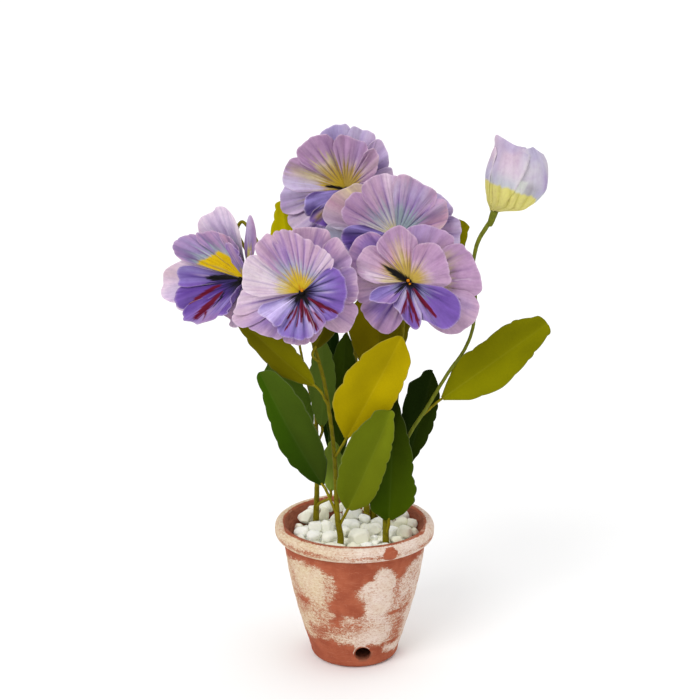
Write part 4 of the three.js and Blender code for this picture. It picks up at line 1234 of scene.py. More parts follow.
# lobes: first angle, last angle, degrees by which the last edge turns on its way up, heights at
# even steps, and layer, which grows inwards; 180 is the front and 270 the right
BUD_PETALS = {
    "bud_petal_front": [(98, 156, 47, [50.8, 49.5, 48, 48.5], 0.2),
                        (140, 340, 0, [46, 46, 49, 48, 45.5, 42, 36], 1.1)],
    "bud_petal_back": [(-40, 112, 12, [38, 40, 42, 43, 43, 42], -0.6)],
    "bud_petal_inner": [(20, 300, 0, [36, 40, 43, 45, 42, 36], 2.4)],
}


def bud_sheet(lobe, seed):
    """Points, pattern and colours of one lobe. Its radius is read from the section by its height,
    and its middle line leaves the axis by the sag, which is eased in at the foot and out again
    towards the top. The right side swells and the left is pressed in by a squared cosine of the
    angle, a turning edge stands free, and shallow pleats fade out above the yellow part."""
    start_angle, end_angle, twist, heights, layer = lobe
    out, right, up = flower_axes(BUD_FACING)
    columns, rows = round((end_angle - start_angle) / 2) + 1, 72
    across = np.linspace(0, 1, columns)[None, :] + np.zeros((rows, 1))
    along = np.linspace(0, 1, rows)[:, None] + np.zeros((1, columns))
    angle = start_angle + (end_angle + twist * along - start_angle) * across
    turn = np.radians(angle)
    side = np.minimum(across, 1 - across) * (end_angle - start_angle)
    top = read_smooth(heights, across) - 4 * np.clip(1 - side / 10, 0, 1) ** 2
    top = top + 1.2 * (cloud(angle / 17 + 9, 0 * angle, seed) - 0.5)
    height = -BUD_FOOT + 0.8 * layer + top * along
    level = (height + BUD_FOOT) / (BUD_HEIGHT + BUD_FOOT)
    crumple = cloud(angle / 22 + 30, along * 4 + 3, seed) - 0.5
    pleat = (1 - np.abs(np.sin(math.pi * angle / 21 + 2 * crumple))) ** 1.5
    radius = np.maximum(read_smooth(BUD_SECTION, level) - 0.9 * layer, 1.6)
    radius = radius + 5.5 * ease(0.72, 1.05, level) * ease(225, 180, angle) * (0 < layer < 2)
    rightward = np.clip(np.cos(turn - math.radians(275)), 0, 1) ** 2
    swell = BUD_SWELL * ease(0.3, 0.52, level) * ease(1.04, 0.8, level)
    radius = radius + rightward * (swell - BUD_DRAW_IN * ease(0.36, 0.12, level) * ease(0.01, 0.09, level))
    leftward = np.clip(np.cos(turn - math.radians(90)), 0, 1) ** 2
    radius = radius - BUD_FLAT * leftward * ease(0.42, 0.7, level) * ease(1.0, 0.82, level)
    free_edge = ease(11, 0, (1 - across) * (end_angle - start_angle)) * (twist > 20)
    radius = radius + 0.8 * free_edge * ease(0.25, 0.4, level)
    radius = radius * (1 - 0.62 * ease(0.45, 1, along) * (layer > 2))
    radius = radius - 1.1 * pleat * ease(0.04, 0.14, level) * (1 - ease(0.3, 0.6, level))
    radius = radius + 2.4 * crumple * ease(0.3, 0.7, along) + 0.5 * np.sin(turn * 7) * ease(0.6, 1, along)
    sag = BUD_SAG * ease(-0.02, 0.17, level) * (1 - 0.98 * ease(0.25, 1.02, level))
    points = (BUD_AT + (radius * np.cos(turn))[..., None] * right
              + (radius * np.sin(turn) - sag)[..., None] * up + height[..., None] * out)
    ray = cloud(angle / 6 + 60, along * 2, seed + 1)
    fine = cloud(angle / 2.5 + 90, along * 9, seed + 2)
    blot = cloud(angle / 20 + 10, along * 5, seed + 3)
    crest = angle - BUD_CREST - 50 * (level - 0.33)
    lit = ease(0, 1.5, crest) * ease(20, 16, crest + 1.2 * (fine - 0.5))
    lit = lit * ease(0.56, 0.5, level) * (layer > 1)
    violet = np.exp(-(((angle - 245) / 12) ** 2)) * ease(0.35, 0.5, level) * (1 - ease(0.6, 0.8, level))
    violet = np.maximum(violet, (layer > 2) * ease(0.5, 0.9, along))
    shadow = np.exp(-(((angle - 208) / 17) ** 2)) * ease(0.22, 0.34, level) * (1 - ease(0.46, 0.58, level))
    yellow_top = 0.365 - 0.13 * ease(205, 285, angle) + 0.012 * np.abs(np.sin(turn * 6)) + 0.04 * (ray - 0.5)
    yellow = ease(0.022, -0.022, level - yellow_top)
    teal = np.exp(-(((angle - 242) / 16) ** 2)) * ease(0.18, 0.24, level) * ease(0.4, 0.3, level)
    colour = np.array(rgb(190, 183, 202)) + 0 * points
    for screen, share in (
            ((204, 198, 206), ease(0.3, 0.7, blot)),
            ((203, 180, 197), 0.8 * ease(0.3, 0.8, level) * ease(196, 172, angle)),
            ((190, 198, 198), 0.8 * ease(0.6, 0.36, level)),
            ((226, 232, 220), 0.85 * lit),
            # a thin painted shade along the fold where the sunny crease starts
            ((150, 140, 156), 0.55 * np.exp(-((crest / 1.3) ** 2)) * ease(0.68, 0.55, level)),
            ((166, 146, 192), 0.75 * violet),
            ((150, 142, 150), 0.65 * shadow),
            ((176, 168, 200), 0.6 * ease(0.5, 0.8, cloud(angle / 26, along * 3, seed + 4))),
            ((222, 214, 216), 0.6 * ease(4, 0, side)),
            ((216, 210, 122), yellow),
            ((184, 178, 76), 0.55 * pleat * yellow),
            ((168, 186, 184), 0.7 * teal * (1 - yellow))):
        colour = blend(colour, rgb(*screen), share)
    tone = 1 + 0.1 * (fine - 0.5) + 0.1 * (ray - 0.5)
    return points, np.stack([angle / 360, along * 0.8], axis=-1), colour * tone[..., None]


bud_finish = petal_finish("dyed_paper_bud")
for number, (node, rows) in enumerate(BUD_PETALS.items()):
    lobes = [bud_sheet(row, 500 + 9 * number + 3 * place) for place, row in enumerate(rows)]
    stand_for(pleated_piece(f"pleated_{node}", lobes, False), node, bud_finish)
print("bud petals made:", len(BUD_PETALS))

# %% [markdown]
# ## Leaves
#
# A leaf is cut from coloured card with a scalloped edge and pinched along its middle. Its two
# halves are given apart, as half-widths at shares of its length, because no real pair matches.
# The notes give each leaf's base, its tip and its cut, which is its widest half-width, where that
# is, fold and roll in degrees, and bow in millimetres. Then come the tones of its left and right
# halves, and the measured half-widths of each, after their shares of the length. Where a half has
# none, a smooth leaf shape stands in.

# %% Table of leaves
LEAF_NOTES = """
olive_large_left
 base -27 -40 212; tip -80 -28 259; cut 14.5 .45 14 -24 3; tones 98 92 0, 108 103 0
 left .02 1.4, .13 5.5, .29 9.5, .46 10, .6 9, .73 8.5, .9 5
olive_small
 base -27 -37 237; tip -17 -30 258; cut 8 .5 10 0 1; tones 92 86 0, 78 74 0
olive_behind_right_flower
 base 16 2 198; tip 17 4 268; cut 21 .6 8 0 2; tones 124 112 0, 104 96 0
yellow
 base -6 -38 174; tip 31 -46 248; cut 20 .5 10 12 3; tones 160 141 0, 171 150 0
 left .14 14.3, .27 22.2, .35 23.6, .46 22.7, .57 23.4, .65 20.7, .75 19.1, .88 12.7, .97 6
 right .04 1.9, .24 12, .4 16.7, .57 17.1, .71 15.8, .85 13.4, .91 9.6, .98 3
dark_large_left
 base -22 -30 138; tip -64 -44 223; cut 17 .45 14 -16 4; tones 46 72 2, 56 74 12
 left .09 6.3, .27 11.4, .44 12.5, .66 9.6, .88 4.6
 right .09 7.4, .19 13.4, .35 17.4, .54 19.2, .7 19.2, .84 16.8, .95 12
mid_green_left
 base -29 -12 176; tip -60 -20 222; cut 12 .5 8 0 2; tones 86 110 32, 78 102 26
bright_green
 base -23 -6 172; tip -22 -14 238; cut 9.5 .45 8 0 2; tones 106 130 48, 98 122 42
very_dark_left
 base -18 11 148; tip -17 12 247; cut 8.5 .5 8 0 2; tones 30 54 6, 24 46 4
very_dark_middle
 base -13 2 142; tip -6 3 239; cut 10.5 .45 8 0 2; tones 56 76 8, 50 68 6
light_green_front
 base -5 -25 118; tip 24 -56 200; cut 17 .42 12 14 3; tones 98 110 12, 108 118 16
 left .1 9, .21 15.2, .38 19.4, .53 21.4, .75 20.2, .9 13.6
 right .02 4.7, .12 11.9, .26 14, .37 13.2, .65 11.2, .82 8.4, .94 4.2
dark_front_right
 base 24 -20 108; tip 27 -33 203; cut 18 .34 10 0 3; tones 42 60 0, 52 68 0
 left .01 3.4, .1 13.3, .3 17
 right 0 1.5, .08 10.7, .19 17.8, .31 18.7, .41 14.9, .5 15.9, .68 11.8, .83 7.4, .97 2.4
very_dark_right
 base 35 -8 140; tip 54 -9 215; cut 15 .55 10 10 3; tones 24 40 0, 34 48 0
 left .3 11, .6 15, .85 14.9, .93 7.7
 right .16 4.4, .24 7.1, .41 10.1, .55 10.9, .83 9.1, 1 .2
olive_far_right
 base 60 -16 196; tip 133 -4 247; cut 17.5 .52 8 0 4; tones 116 114 0, 124 122 0
 left .09 6.7, .25 15.5, .36 16.7, .51 15.7, .68 16.9, .81 15.3, .93 9.8
 right .17 12, .26 14.9, .42 18.3, .57 16.3, .75 12.8, .92 8.2
light_green_low
 base -17 -8 125; tip -15 -14 166; cut 7.5 .45 6 0 1; tones 138 160 58, 130 152 52
yellow_green_high
 base -44 28 264; tip -52 48 324; cut 12 .4 12 0 2; tones 188 178 0, 172 164 0
 left .3 12, .64 11.4, .84 6.8
 right .35 9, .69 5.6, .9 3.9
dark_olive_high
 base -24 40 268; tip -33 58 323; cut 9 .45 10 0 2; tones 66 76 0, 72 82 0
olive_high_right
 base 54 25 259; tip 75 32 313; cut 9.5 .5 10 0 2; tones 126 124 0, 132 128 0
 left .3 8, .7 8, .96 5
 right .3 9, .69 9.5, .96 7.5
"""
LEAVES = {name: (note["base"][0], note["tip"][0], *note["cut"][0], *note["tones"],
                 note.get("left", []), note.get("right", []))
          for name, note in read_notes(LEAF_NOTES).items()}
# how much lighter a leaf is at its base than at its tip, where it differs from the others
LEAF_FADE = {"dark_large_left": -0.95, "dark_front_right": 1.1, "very_dark_right": 0.5,
             "light_green_front": -0.1, "olive_large_left": 0.3}
print("leaves:", len(LEAVES))

# %% [markdown]
# ## Cutting the leaves
#
# The outline is the half-width at each share of the length with shallow scallops taken out of
# it. Their width wanders a little, as pinking done by eye does. Across the leaf the grid is
# finer near the crease and near the edge, where the light changes quickest.

# %% Make the leaves
LEAF_FACING = (0, -0.96, 0.28)
SCALLOP = 10.0  # length of one scallop of the edge
SCALLOP_DEPTH = 1.0
TIP_ROUND = 3.0  # the last stretch of the outline, which closes in a quarter circle
LEAF_PAPER = 0.4
LEAF_ROWS = 150
LEAF_HALF_COLUMNS = 13


def leaf_shape(along, belly):
    """0 at both ends and 1 at the belly, blunter at the tip: the product of the share of the way
    to the belly and the share of the way back from it, each to its own power."""
    rise, fall = 1.7 * belly, 1.2 * (1 - belly)
    return (along / belly) ** rise * ((1 - along) / (1 - belly)) ** fall


def half_outline(measured, along, half, belly, length, rng):
    """One half's width at each share of the length: the measured widths joined smoothly, or the
    leaf shape, less the notches between scallops of the edge."""
    width = leaf_shape(along, belly) * half
    if measured:
        knots = np.array([(0, 1.0), *measured, (1.0, 0.75 * measured[-1][1])])
        width = np.interp(along, knots[:, 0], knots[:, 1])
        blur = np.hanning(9)
        width = np.convolve(np.pad(width, 4, mode="edge"), blur / blur.sum(), mode="valid")
    from_tip = np.clip((1 - along) * length / TIP_ROUND, 0, 1)
    width = width * np.sqrt(from_tip * (2 - from_tip))
    notches = np.cumsum(rng.uniform(0.55, 1.5, 60)) * SCALLOP / length
    depth = rng.uniform(0.25, 1.3, 60)
    phase = np.interp(along, notches, np.arange(60), left=0)
    scallop = (1 - np.abs(np.sin(math.pi * phase)) ** 0.75) * depth[np.round(phase).astype(int)]
    return np.maximum(width - SCALLOP_DEPTH * scallop * ease(0.1, 0.25, along), 0.25)


def leaf_axes(name):
    """A leaf's base, its length, and the directions along its midrib, across it and to its front:
    across is level with LEAF_FACING and then rolled about the midrib."""
    base, tip, _, _, _, roll = LEAVES[name][:6]
    base, tip = np.array(base, float), np.array(tip, float)
    length = np.linalg.norm(tip - base)
    along = (tip - base) / length
    side = unit(np.cross(along, LEAF_FACING))
    side = side * math.cos(math.radians(roll)) + np.cross(along, side) * math.sin(math.radians(roll))
    return base, length, along, side, np.cross(side, along)


def cut_leaf(name, seed):
    """Points, pattern and colours of a leaf: base + along the midrib + across by the half-width,
    folded up on both sides of the crease and bowed towards the front in a parabola."""
    _, _, half, belly, fold, _, bow, left_tone, right_tone, left, right = LEAVES[name]
    base, length, along_axis, side, face = leaf_axes(name)
    rng = np.random.default_rng(seed)
    s = np.linspace(0.008, 0.998, LEAF_ROWS)
    widths = [half_outline(m, s, half, belly, length, rng) for m in (left, right)]
    t = np.linspace(0, 1, LEAF_HALF_COLUMNS + 1)
    t = 0.5 * t + 0.5 * ease(0, 1, t)
    t = np.concatenate([-t[:0:-1], t])[None, :]
    width = np.where(t < 0, widths[0][:, None], widths[1][:, None])
    s = s[:, None] + 0 * t
    crease = np.sqrt((width * t) ** 2 + 0.3) - math.sqrt(0.3)
    lift = crease * math.sin(math.radians(fold)) + bow * 4 * s * (1 - s)
    lift = lift + 0.9 * (cloud(s * 3.2 + 5, t * 1.2 + 8, seed) - 0.5) * ease(0.0, 0.3, s)
    lift = lift - 0.035 * (width * np.abs(t)) * ease(0.6, 1, np.abs(t)) * (1 + np.sin(s * 9 + seed))
    points = (base + (s * length)[..., None] * along_axis
              + (width * t * math.cos(math.radians(fold)))[..., None] * side + lift[..., None] * face)
    tones = blend(np.array(rgb(*left_tone)) + 0 * points, rgb(*right_tone), ease(-0.22, 0.22, t) + 0 * s)
    patch = cloud(s * 4 + 3, t * 2 + 7, seed + 1) - 0.5
    tones = tones * (1 + 0.22 * patch + (0.16 + LEAF_FADE.get(name, 0)) * (0.5 - s))[..., None]
    rib = np.exp(-((width * t) / 0.45) ** 2) * (1 - 0.6 * s)
    tones = blend(tones, tones * 1.25 + 0.01, 0.5 * rib)
    # painted highlight along the leaf's cut edge
    edge = ease(0.55, 0.0, width * (1 - np.abs(t)))
    tones = blend(tones, tones * 0.7 + np.array(rgb(150, 160, 120)) * 0.3, 0.6 * edge)
    pattern = np.stack([width * t / 60, s * length / 60], axis=-1)
    return points, pattern, tones


def leaf_finish(name):
    """The painted tone, darkened in slow clouds, along a fine crossed weave and in the grain."""
    card = Finish(name, 0.75, 0.04)
    weave_u = card.noise(card.stretched(card.pattern(), (150, 28, 1)), 1.0, 3.0, 0.6)
    weave_v = card.noise(card.stretched(card.pattern(), (28, 150, 1)), 1.0, 3.0, 0.6)
    crepe = card.maths("MULTIPLY", card.maths("ADD", weave_u, weave_v), 0.5)
    grain = card.noise(card.place, 900.0, 3.0, 0.6)
    cloudy = card.noise(card.place, 42.0, 3.0, 0.5)
    colour = card.attribute("paint", "Color")
    colour = card.over(colour, cloudy, 0.35, 0.7, 0.5, (0.84, 0.85, 0.8), "MULTIPLY")
    colour = card.over(colour, crepe, 0.4, 0.62, 0.5, (0.86, 0.87, 0.84), "MULTIPLY")
    colour = card.over(colour, grain, 0.45, 0.75, 0.5, (0.88, 0.88, 0.86), "MULTIPLY")
    return card.wear(colour, card.bump(grain, 0.06, 0.5, card.bump(crepe, 0.12, 0.5)))


LEAF_FINISH = {slot: leaf_finish(f"card_{slot}") for slot in
               ("leaf_dark", "leaf_very_dark", "leaf_green", "leaf_light", "leaf_olive", "leaf_yellow")}
for number, name in enumerate(LEAVES):
    points, pattern, paint = cut_leaf(name, 900 + 11 * number)
    leaf = make_piece(f"card_leaf_{name}", points, [grid_faces(*points.shape[:2])], pattern, paint)
    finish_paper(leaf, LEAF_PAPER)
    # a leaf's name starts with its colour, apart from the two plain green ones
    slot = next((slot for slot in LEAF_FINISH if name.startswith(slot[5:])), "leaf_green")
    stand_for(leaf, f"leaf_{name}", LEAF_FINISH[slot])
print("leaves made:", len(LEAVES))

# %% [markdown]
# ## Stems
#
# Each stem is one wire, with its leaf stalks and the knot behind its flower wound in the same
# floral tape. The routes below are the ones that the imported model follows. A stalk leaves its
# stem at a height and comes into its leaf along the midrib.

# %% Table of stems
STEM_FOOT = 52
STEM_GIRTHS = [(92, 2.4), (112, 1.95), (150, 1.5), (250, 1.2)]  # (height, radius): thinner upwards
BUD_GIRTHS = [(130, 1.5), (190, 1.25), (280, 1.15), (312, 1.6)]
STALK_GIRTHS = [(90, 1.1), (200, 0.9)]
STEMS = {
    "left": ((-28, 14), [(-28, 14, 96), (-27, 6, 126), (-27, -5, 176), (-28, -10, 231), (-40, -6, 262),
                         (-57, 4, 286), (-67, 16, 299), (-73, 22, 308), (-79, 27, 312.5), (-82.5, 29, 306),
                         (-76, 26, 292)],
             [("bright_green", 158), ("mid_green_left", 160), ("light_green_low", 106, (-25, 5, 112)),
              ("yellow_green_high", 180, (-33, -3, 204), (-40, 8, 237))]),
    "front": ((-10, -19), [(-10, -19, 96), (-12, -22, 110), (-13, -26, 135), (-14, -31, 160), (-17, -34, 189),
                           (-21, -33, 214), (-27, -30, 236), (-33, -27, 258), (-35, -28, 270)],
              [("olive_large_left", 196), ("olive_small", 226), ("yellow", 158), ("dark_large_left", 112),
               ("light_green_front", 103)]),
    "right": ((22, -17), [(22, -17, 96), (22, -13, 112), (25, -13, 145), (29, -18, 198), (32, -18, 236),
                          (34, -13, 262), (36, -9, 274)],
              [("dark_front_right", 95)]),
    "top": ((9, 30), [(9, 30, 96), (6, 31, 150), (1, 33, 210), (-4, 40, 270), (-6, 48, 310), (-6, 52, 326)],
            [("very_dark_left", 118, (-6, 23, 130)), ("very_dark_middle", 104, (-2, 18, 122)),
             ("dark_olive_high", 214, (-10, 36, 240))]),
    "middle": ((14, 33), [(14, 33, 96), (19, 33, 150), (25, 29, 220), (29, 27, 275), (29, 26, 295)],
               [("olive_behind_right_flower", 150, (18, 18, 176)), ("olive_high_right", 205, (38, 27, 236))]),
}
BUD_WIRE = [(23.5, -13, 130), (30, -16.5, 150), (38, -20, 172), (49, -20, 190), (65, -16, 216),
            (75, -11, 229), (81, -7, 243), (83, -3, 265), (81, 0, 284), (84, 2, 302), (89, 4, 311),
            (93.6, 5, 317.6)]
BUD_STALKS = [("very_dark_right", 140), ("olive_far_right", 184)]
STEM_NODES = {"left": "stem_left", "front": "stem_front", "right": "stem_right", "top": "stem_back_left",
              "middle": "stem_back_right"}
print("stems:", len(STEMS))

# %% [markdown]
# ## Winding the stems
#
# A throat is what shows in the middle of a flower: a small dark pad, and on some flowers a bead
# or two of orange. It belongs to the stem's piece, because the wire's end carries it.

# %% Make the stems
# orange beads: how far right of the throat, how far above it, and radius
BEADS = {"front": [(0.2, 1.3, 1.0)], "right": [(-0.6, 0.8, 1.15), (0.6, -1.4, 0.8)]}
# profiles of the knot behind a flower, its pin and the bud's sleeve: radius, place along the axis
CALYX = [(0.3, -14.5), (2.15, -14.2), (2.5, -11.5), (3.4, -9.2), (4.5, -7.6), (4.6, -6.9), (3.2, -6.3),
         (0.3, -6.2)]
PIN = [(0.1, -7.5), (1.0, -7.2), (1.0, -3), (1.0, 0.2), (1.9, 0.9), (1.7, 1.8), (0.6, 2.2), (0.05, 2.25)]
SLEEVE = [(0.3, -12.6), (1.5, -12.2), (2.1, -10.4), (2.5, -6), (2.7, -2), (2.9, 0.6), (2.5, 1.4), (0.3, 1.6)]


def stalk_route(stem_points, entry):
    """A stalk's points: from the stem at a height, by any points on its way, to 4 mm short of the
    leaf in line with its midrib, and to its base."""
    name, height, *via = entry
    route, _ = smooth_route(stem_points, 1.0)
    start = route[np.argmax(route[:, 2] >= height)]
    base, length, along, _, face = leaf_axes(name)
    bow = LEAVES[name][6]
    heading = unit(along + face * 4 * bow / length)
    return [start, *via, base - 4 * heading, base + 2.5 * heading]


def with_tape(tube, dye, seed):
    """A tube or knot together with its colours: the dye, lighter over the overlap and blotched."""
    points, winding = tube
    rows = np.arange(winding.shape[0])[:, None] + 0 * winding
    patch = cloud(rows / 14 + 3, winding * 3, seed)
    tone = 0.86 + 0.22 * winding + 0.22 * (patch - 0.5)
    tone = tone * (1 - 0.35 * ease(0.06, 0.0, np.minimum(winding, 1 - winding)))
    return points, dye * tone[..., None]


def stalks_of(route, entries, shade, first_seed):
    """The leaf stalks of one wire, in the tape's dye times a shade."""
    return [with_tape(taped_tube(stalk_route(route, entry), STALK_GIRTHS, 12, 0.8), DYE["tape"] * shade,
                      first_seed + place) for place, entry in enumerate(entries)]


def bead(centre, radius, dye):
    """A small closed ball, as rings from pole to pole."""
    lift = np.linspace(-0.497, 0.497, 14)[:, None] * math.pi
    turn = np.linspace(0, 2 * math.pi, 16, endpoint=False)[None, :]
    ring = np.stack([np.cos(lift) * np.cos(turn), np.cos(lift) * np.sin(turn), np.sin(lift) + 0 * turn],
                    axis=-1)
    return centre + radius * ring, dye + 0 * ring


def flower_end(name):
    """The knot behind a flower, its pin, its dark throat and its beads."""
    at, facing, _ = FLOWERS[name]
    out, right, up = flower_axes(facing)
    pad, _ = turned_knot(at, facing, PIN, 20, 40)
    parts = [with_tape(turned_knot(at, facing, CALYX), DYE["tape"], 31), (pad, DYE["black"] + 0 * pad)]
    for across, lift, radius in BEADS.get(name, []):
        centre = np.array(at, float) + across * right + lift * up + 2.3 * out
        parts.append(bead(centre, radius, DYE["orange"]))
    return parts


def into_knot(name):
    """Two points on the flower's axis behind its throat, where its stem comes in."""
    at, facing, _ = FLOWERS[name]
    return [np.array(at, float) + depth * unit(np.array(facing, float)) for depth in (-18, -10)]


tape = Finish("floral_tape", 0.66, 0.12)
tape_grain = tape.noise(tape.place, 700.0, 3.0, 0.6)
tape_wrinkle = tape.noise(tape.stretched(tape.place, (1, 1, 0.25)), 900.0, 3.0, 0.6)
tape_colour = tape.attribute("paint", "Color")
tape_colour = tape.over(tape_colour, tape_grain, 0.4, 0.75, 0.35, (0.55, 0.6, 0.4), "MULTIPLY")
tape_colour = tape.over(tape_colour, tape_wrinkle, 0.55, 0.8, 0.2, (0.8, 0.82, 0.7), "MULTIPLY")
tape.wear(tape_colour, tape.bump(tape_wrinkle, 0.2, 0.6, tape.bump(tape_grain, 0.1, 0.5)))

for number, (name, (foot, route, stalks)) in enumerate(STEMS.items()):
    whole = [(*foot, STEM_FOOT), (*foot, 80), (*foot, 90), *route, *into_knot(name)]
    parts = [with_tape(taped_tube(whole, STEM_GIRTHS), DYE["tape"], 40 + number)]
    parts.extend(stalks_of(route, stalks, (1.25, 1.22, 1.0), 60 + 5 * number))
    parts.extend(flower_end(name))
    if name == "right":
        parts.append(with_tape(taped_tube(BUD_WIRE, BUD_GIRTHS), DYE["green_tape"], 77))
        parts.extend(stalks_of(BUD_WIRE, BUD_STALKS, (1.2, 1.15, 1.0), 80))
        parts.append(with_tape(turned_knot(BUD_AT, BUD_FACING, SLEEVE), DYE["green_tape"], 90))
    points, faces, paint = joined(parts)
    stem = make_piece(f"taped_{STEM_NODES[name]}", points, faces, paint=paint)
    stand_for(stem, STEM_NODES[name], tape.material)
print("stems made:", len(STEMS))

# %% [markdown]
# ## Pebbles
#
# The stones are tumbled white marble, seven to seventeen millimetres across. One stone is a
# round ball of even triangles, squeezed by a few random waves and pressed flat along random
# planes, so that it gets flats and dull corners. The stones that show are placed one by one.
# Between them others are dropped at random, each where it clears its neighbours, and a lower
# layer closes the gaps.

# %% Stone helper
def ball_pattern(subdivisions):
    """Points on a unit ball in even triangles, with its faces."""
    bm = bmesh.new()
    bmesh.ops.create_icosphere(bm, subdivisions=subdivisions, radius=1.0)
    directions = np.array([v.co[:] for v in bm.verts])
    faces = np.array([[v.index for v in f.verts] for f in bm.faces])
    bm.free()
    return directions, faces


BALLS = {level: ball_pattern(level) for level in (2, 3, 4)}
FLATS = 9  # planes along which a stone is pressed flat
FLAT_FROM, FLAT_TO = 0.62, 0.84  # how near to its middle they may lie, as shares of its radius
FLATTENING = 0.85  # how much of what stands past a plane is taken off


def tumbled_stone(x, y, z, length, width, height, turn, seed, level=3):
    """One stone's points and faces: the ball's directions, each pushed in or out by three random
    plane waves, squared off a little, pressed flat, stretched to the stone's size, tipped and
    turned."""
    directions, faces = BALLS[level]
    rng = np.random.default_rng(seed)
    swell = 1 + sum(rng.uniform(0.03, 0.09) * np.sin(directions @ rng.normal(0, 1.3, 3) + rng.uniform(0, 6))
                    for _ in range(3))
    squared = directions / (np.abs(directions) ** 2.6).sum(axis=1, keepdims=True) ** (1 / 2.6)
    shape = (0.62 * directions + 0.38 * squared) * swell[:, None]
    for _ in range(FLATS):
        flat = unit(rng.normal(size=3))
        beyond = np.maximum(shape @ flat - rng.uniform(FLAT_FROM, FLAT_TO), 0)
        shape = shape - FLATTENING * beyond[:, None] * flat
    shape = shape / np.abs(shape).max(axis=0) * np.array([length, width, height]) / 2
    tip, spin = math.radians(rng.uniform(-14, 14)), math.radians(turn)
    tipping = np.array([[math.cos(tip), 0, math.sin(tip)], [0, 1, 0], [-math.sin(tip), 0, math.cos(tip)]])
    turning = np.array([[math.cos(spin), -math.sin(spin), 0], [math.sin(spin), math.cos(spin), 0], [0, 0, 1]])
    return shape @ tipping.T @ turning.T + np.array([x, y, z]), faces


# %% Place the stones
# x, y, z, length, width, height, turn
LOOSE_STONES = [
    (2.1, -8, 91.2, 18.2, 15, 13, 5), (12.6, 5, 91.9, 15, 10.5, 10, -32),
    (36.8, -0.5, 91.4, 13.5, 12, 11, 25), (-28.4, 7.5, 92.6, 11, 9, 9.5, 10),
    (-35.5, 21, 95.2, 12.5, 11, 11.5, 30), (41.4, 11, 93.4, 8.8, 9, 10.5, 0),
]
SEEN_STONES = [
    (-38.2, 1.5, 91.3, 11.5, 11, 8.5, -20), (-40.6, 11, 91.5, 7, 8, 6.5, 0),
    (-22.3, 25, 95.3, 8, 9, 12.5, 10), (-20.5, 37, 97.5, 11.5, 9, 11, -10),
    (-19.4, 7.5, 92.2, 12, 11, 12, 20), (-28.6, -6.5, 91.3, 12, 10.5, 9, 12),
    (-38.5, -8.5, 89.6, 9.5, 8, 7, 30), (-17.2, -8.5, 91.3, 13, 11, 9, 8),
    (-14.5, -24.5, 88.8, 16.5, 9, 9, -8), (-14.6, 20, 93.4, 8, 7, 9, 30), (-7.4, 3.5, 91.0, 9, 9, 8, 0),
    (-2.6, 14.5, 92.4, 13.5, 10.5, 9.5, 14), (6.8, 21.5, 93.4, 9.5, 9, 8.5, -30),
    (-0.2, 31.5, 94.8, 17.5, 11, 12, 5), (17.5, 17.5, 92.8, 12, 10, 9.5, 20),
    (17, -25.6, 88.8, 20, 9.5, 8.5, 6), (33.2, 14.5, 92.8, 13.5, 10, 9.5, -18),
    (34.6, 26, 94.2, 11, 9, 9.5, 10), (27.6, 3.2, 91.0, 9.5, 9.5, 9, 30),
    (43.2, 2.6, 91.2, 6.8, 7, 6.5, 0), (21.5, 28.5, 94.6, 11, 9, 10.5, 0),
    (29.5, -12.5, 90.0, 10, 9, 8, 20), (-30.5, 31, 96.0, 9.5, 8, 9, 0),
    (8.5, -20.5, 88.6, 10.5, 9, 8.5, 30), (-27.5, -17.5, 88.4, 9, 8, 7.5, 20),
    (10.5, 38.5, 96.0, 11, 8.5, 8.5, 20), (-9.5, 36.5, 96.6, 9.5, 8, 8.5, 15),
]
STEM_FEET = [foot for foot, _, _ in STEMS.values()]
DROP_RADIUS, WALL_RADIUS = 43.5, 44.5
DROP_HEIGHT, UNDER_HEIGHT = 88.4, 85.8  # middles of the dropped stones and of the layer below


def drop_more(stones, tries, seed):
    """Stones for where there is room: a random place is kept if a stone there stays inside the
    wall, and clear of the stems and of nearly the whole reach of every other stone."""
    rng = np.random.default_rng(seed)
    kept = [(x, y, (length + width) / 4) for x, y, _, length, width, _, _ in stones]
    added = []
    for size in (10.5, 9, 8, 7, 6):
        for _ in range(tries):
            distance, angle = DROP_RADIUS * math.sqrt(rng.random()), rng.uniform(0, 2 * math.pi)
            x, y = distance * math.cos(angle), distance * math.sin(angle)
            if distance + 0.42 * size > WALL_RADIUS:
                continue
            if any(math.hypot(x - a, y - b) < 0.93 * (r + size / 2) for a, b, r in kept):
                continue
            if any(math.hypot(x - a, y - b) < size / 2 + 1.6 for a, b in STEM_FEET):
                continue
            kept.append((x, y, size / 2))
            z = DROP_HEIGHT + 0.07 * max(y, 0) + rng.uniform(-0.8, 0.8)
            added.append((x, y, z, size * rng.uniform(1, 1.25), size * 0.9, size * 0.8, rng.uniform(0, 180)))
    return added


dropped = drop_more(LOOSE_STONES + SEEN_STONES, 700, 12)
under_rng = np.random.default_rng(21)
under = []
for row in range(-5, 6):
    for column in range(-5, 6):
        x, y = 8.6 * (column + 0.5 * (row % 2)), 7.6 * row
        if math.hypot(x, y) < 40.5 and all(math.hypot(x - a, y - b) > 5.5 for a, b in STEM_FEET):
            jitter = under_rng.uniform(-0.8, 0.8, 3)
            z = UNDER_HEIGHT + 0.05 * max(y, 0) + jitter[2]
            under.append((x + jitter[0], y + jitter[1], z, 10, 9, 7.4, under_rng.uniform(0, 180)))
print("stones seen:", len(SEEN_STONES), "dropped:", len(dropped), "under:", len(under))
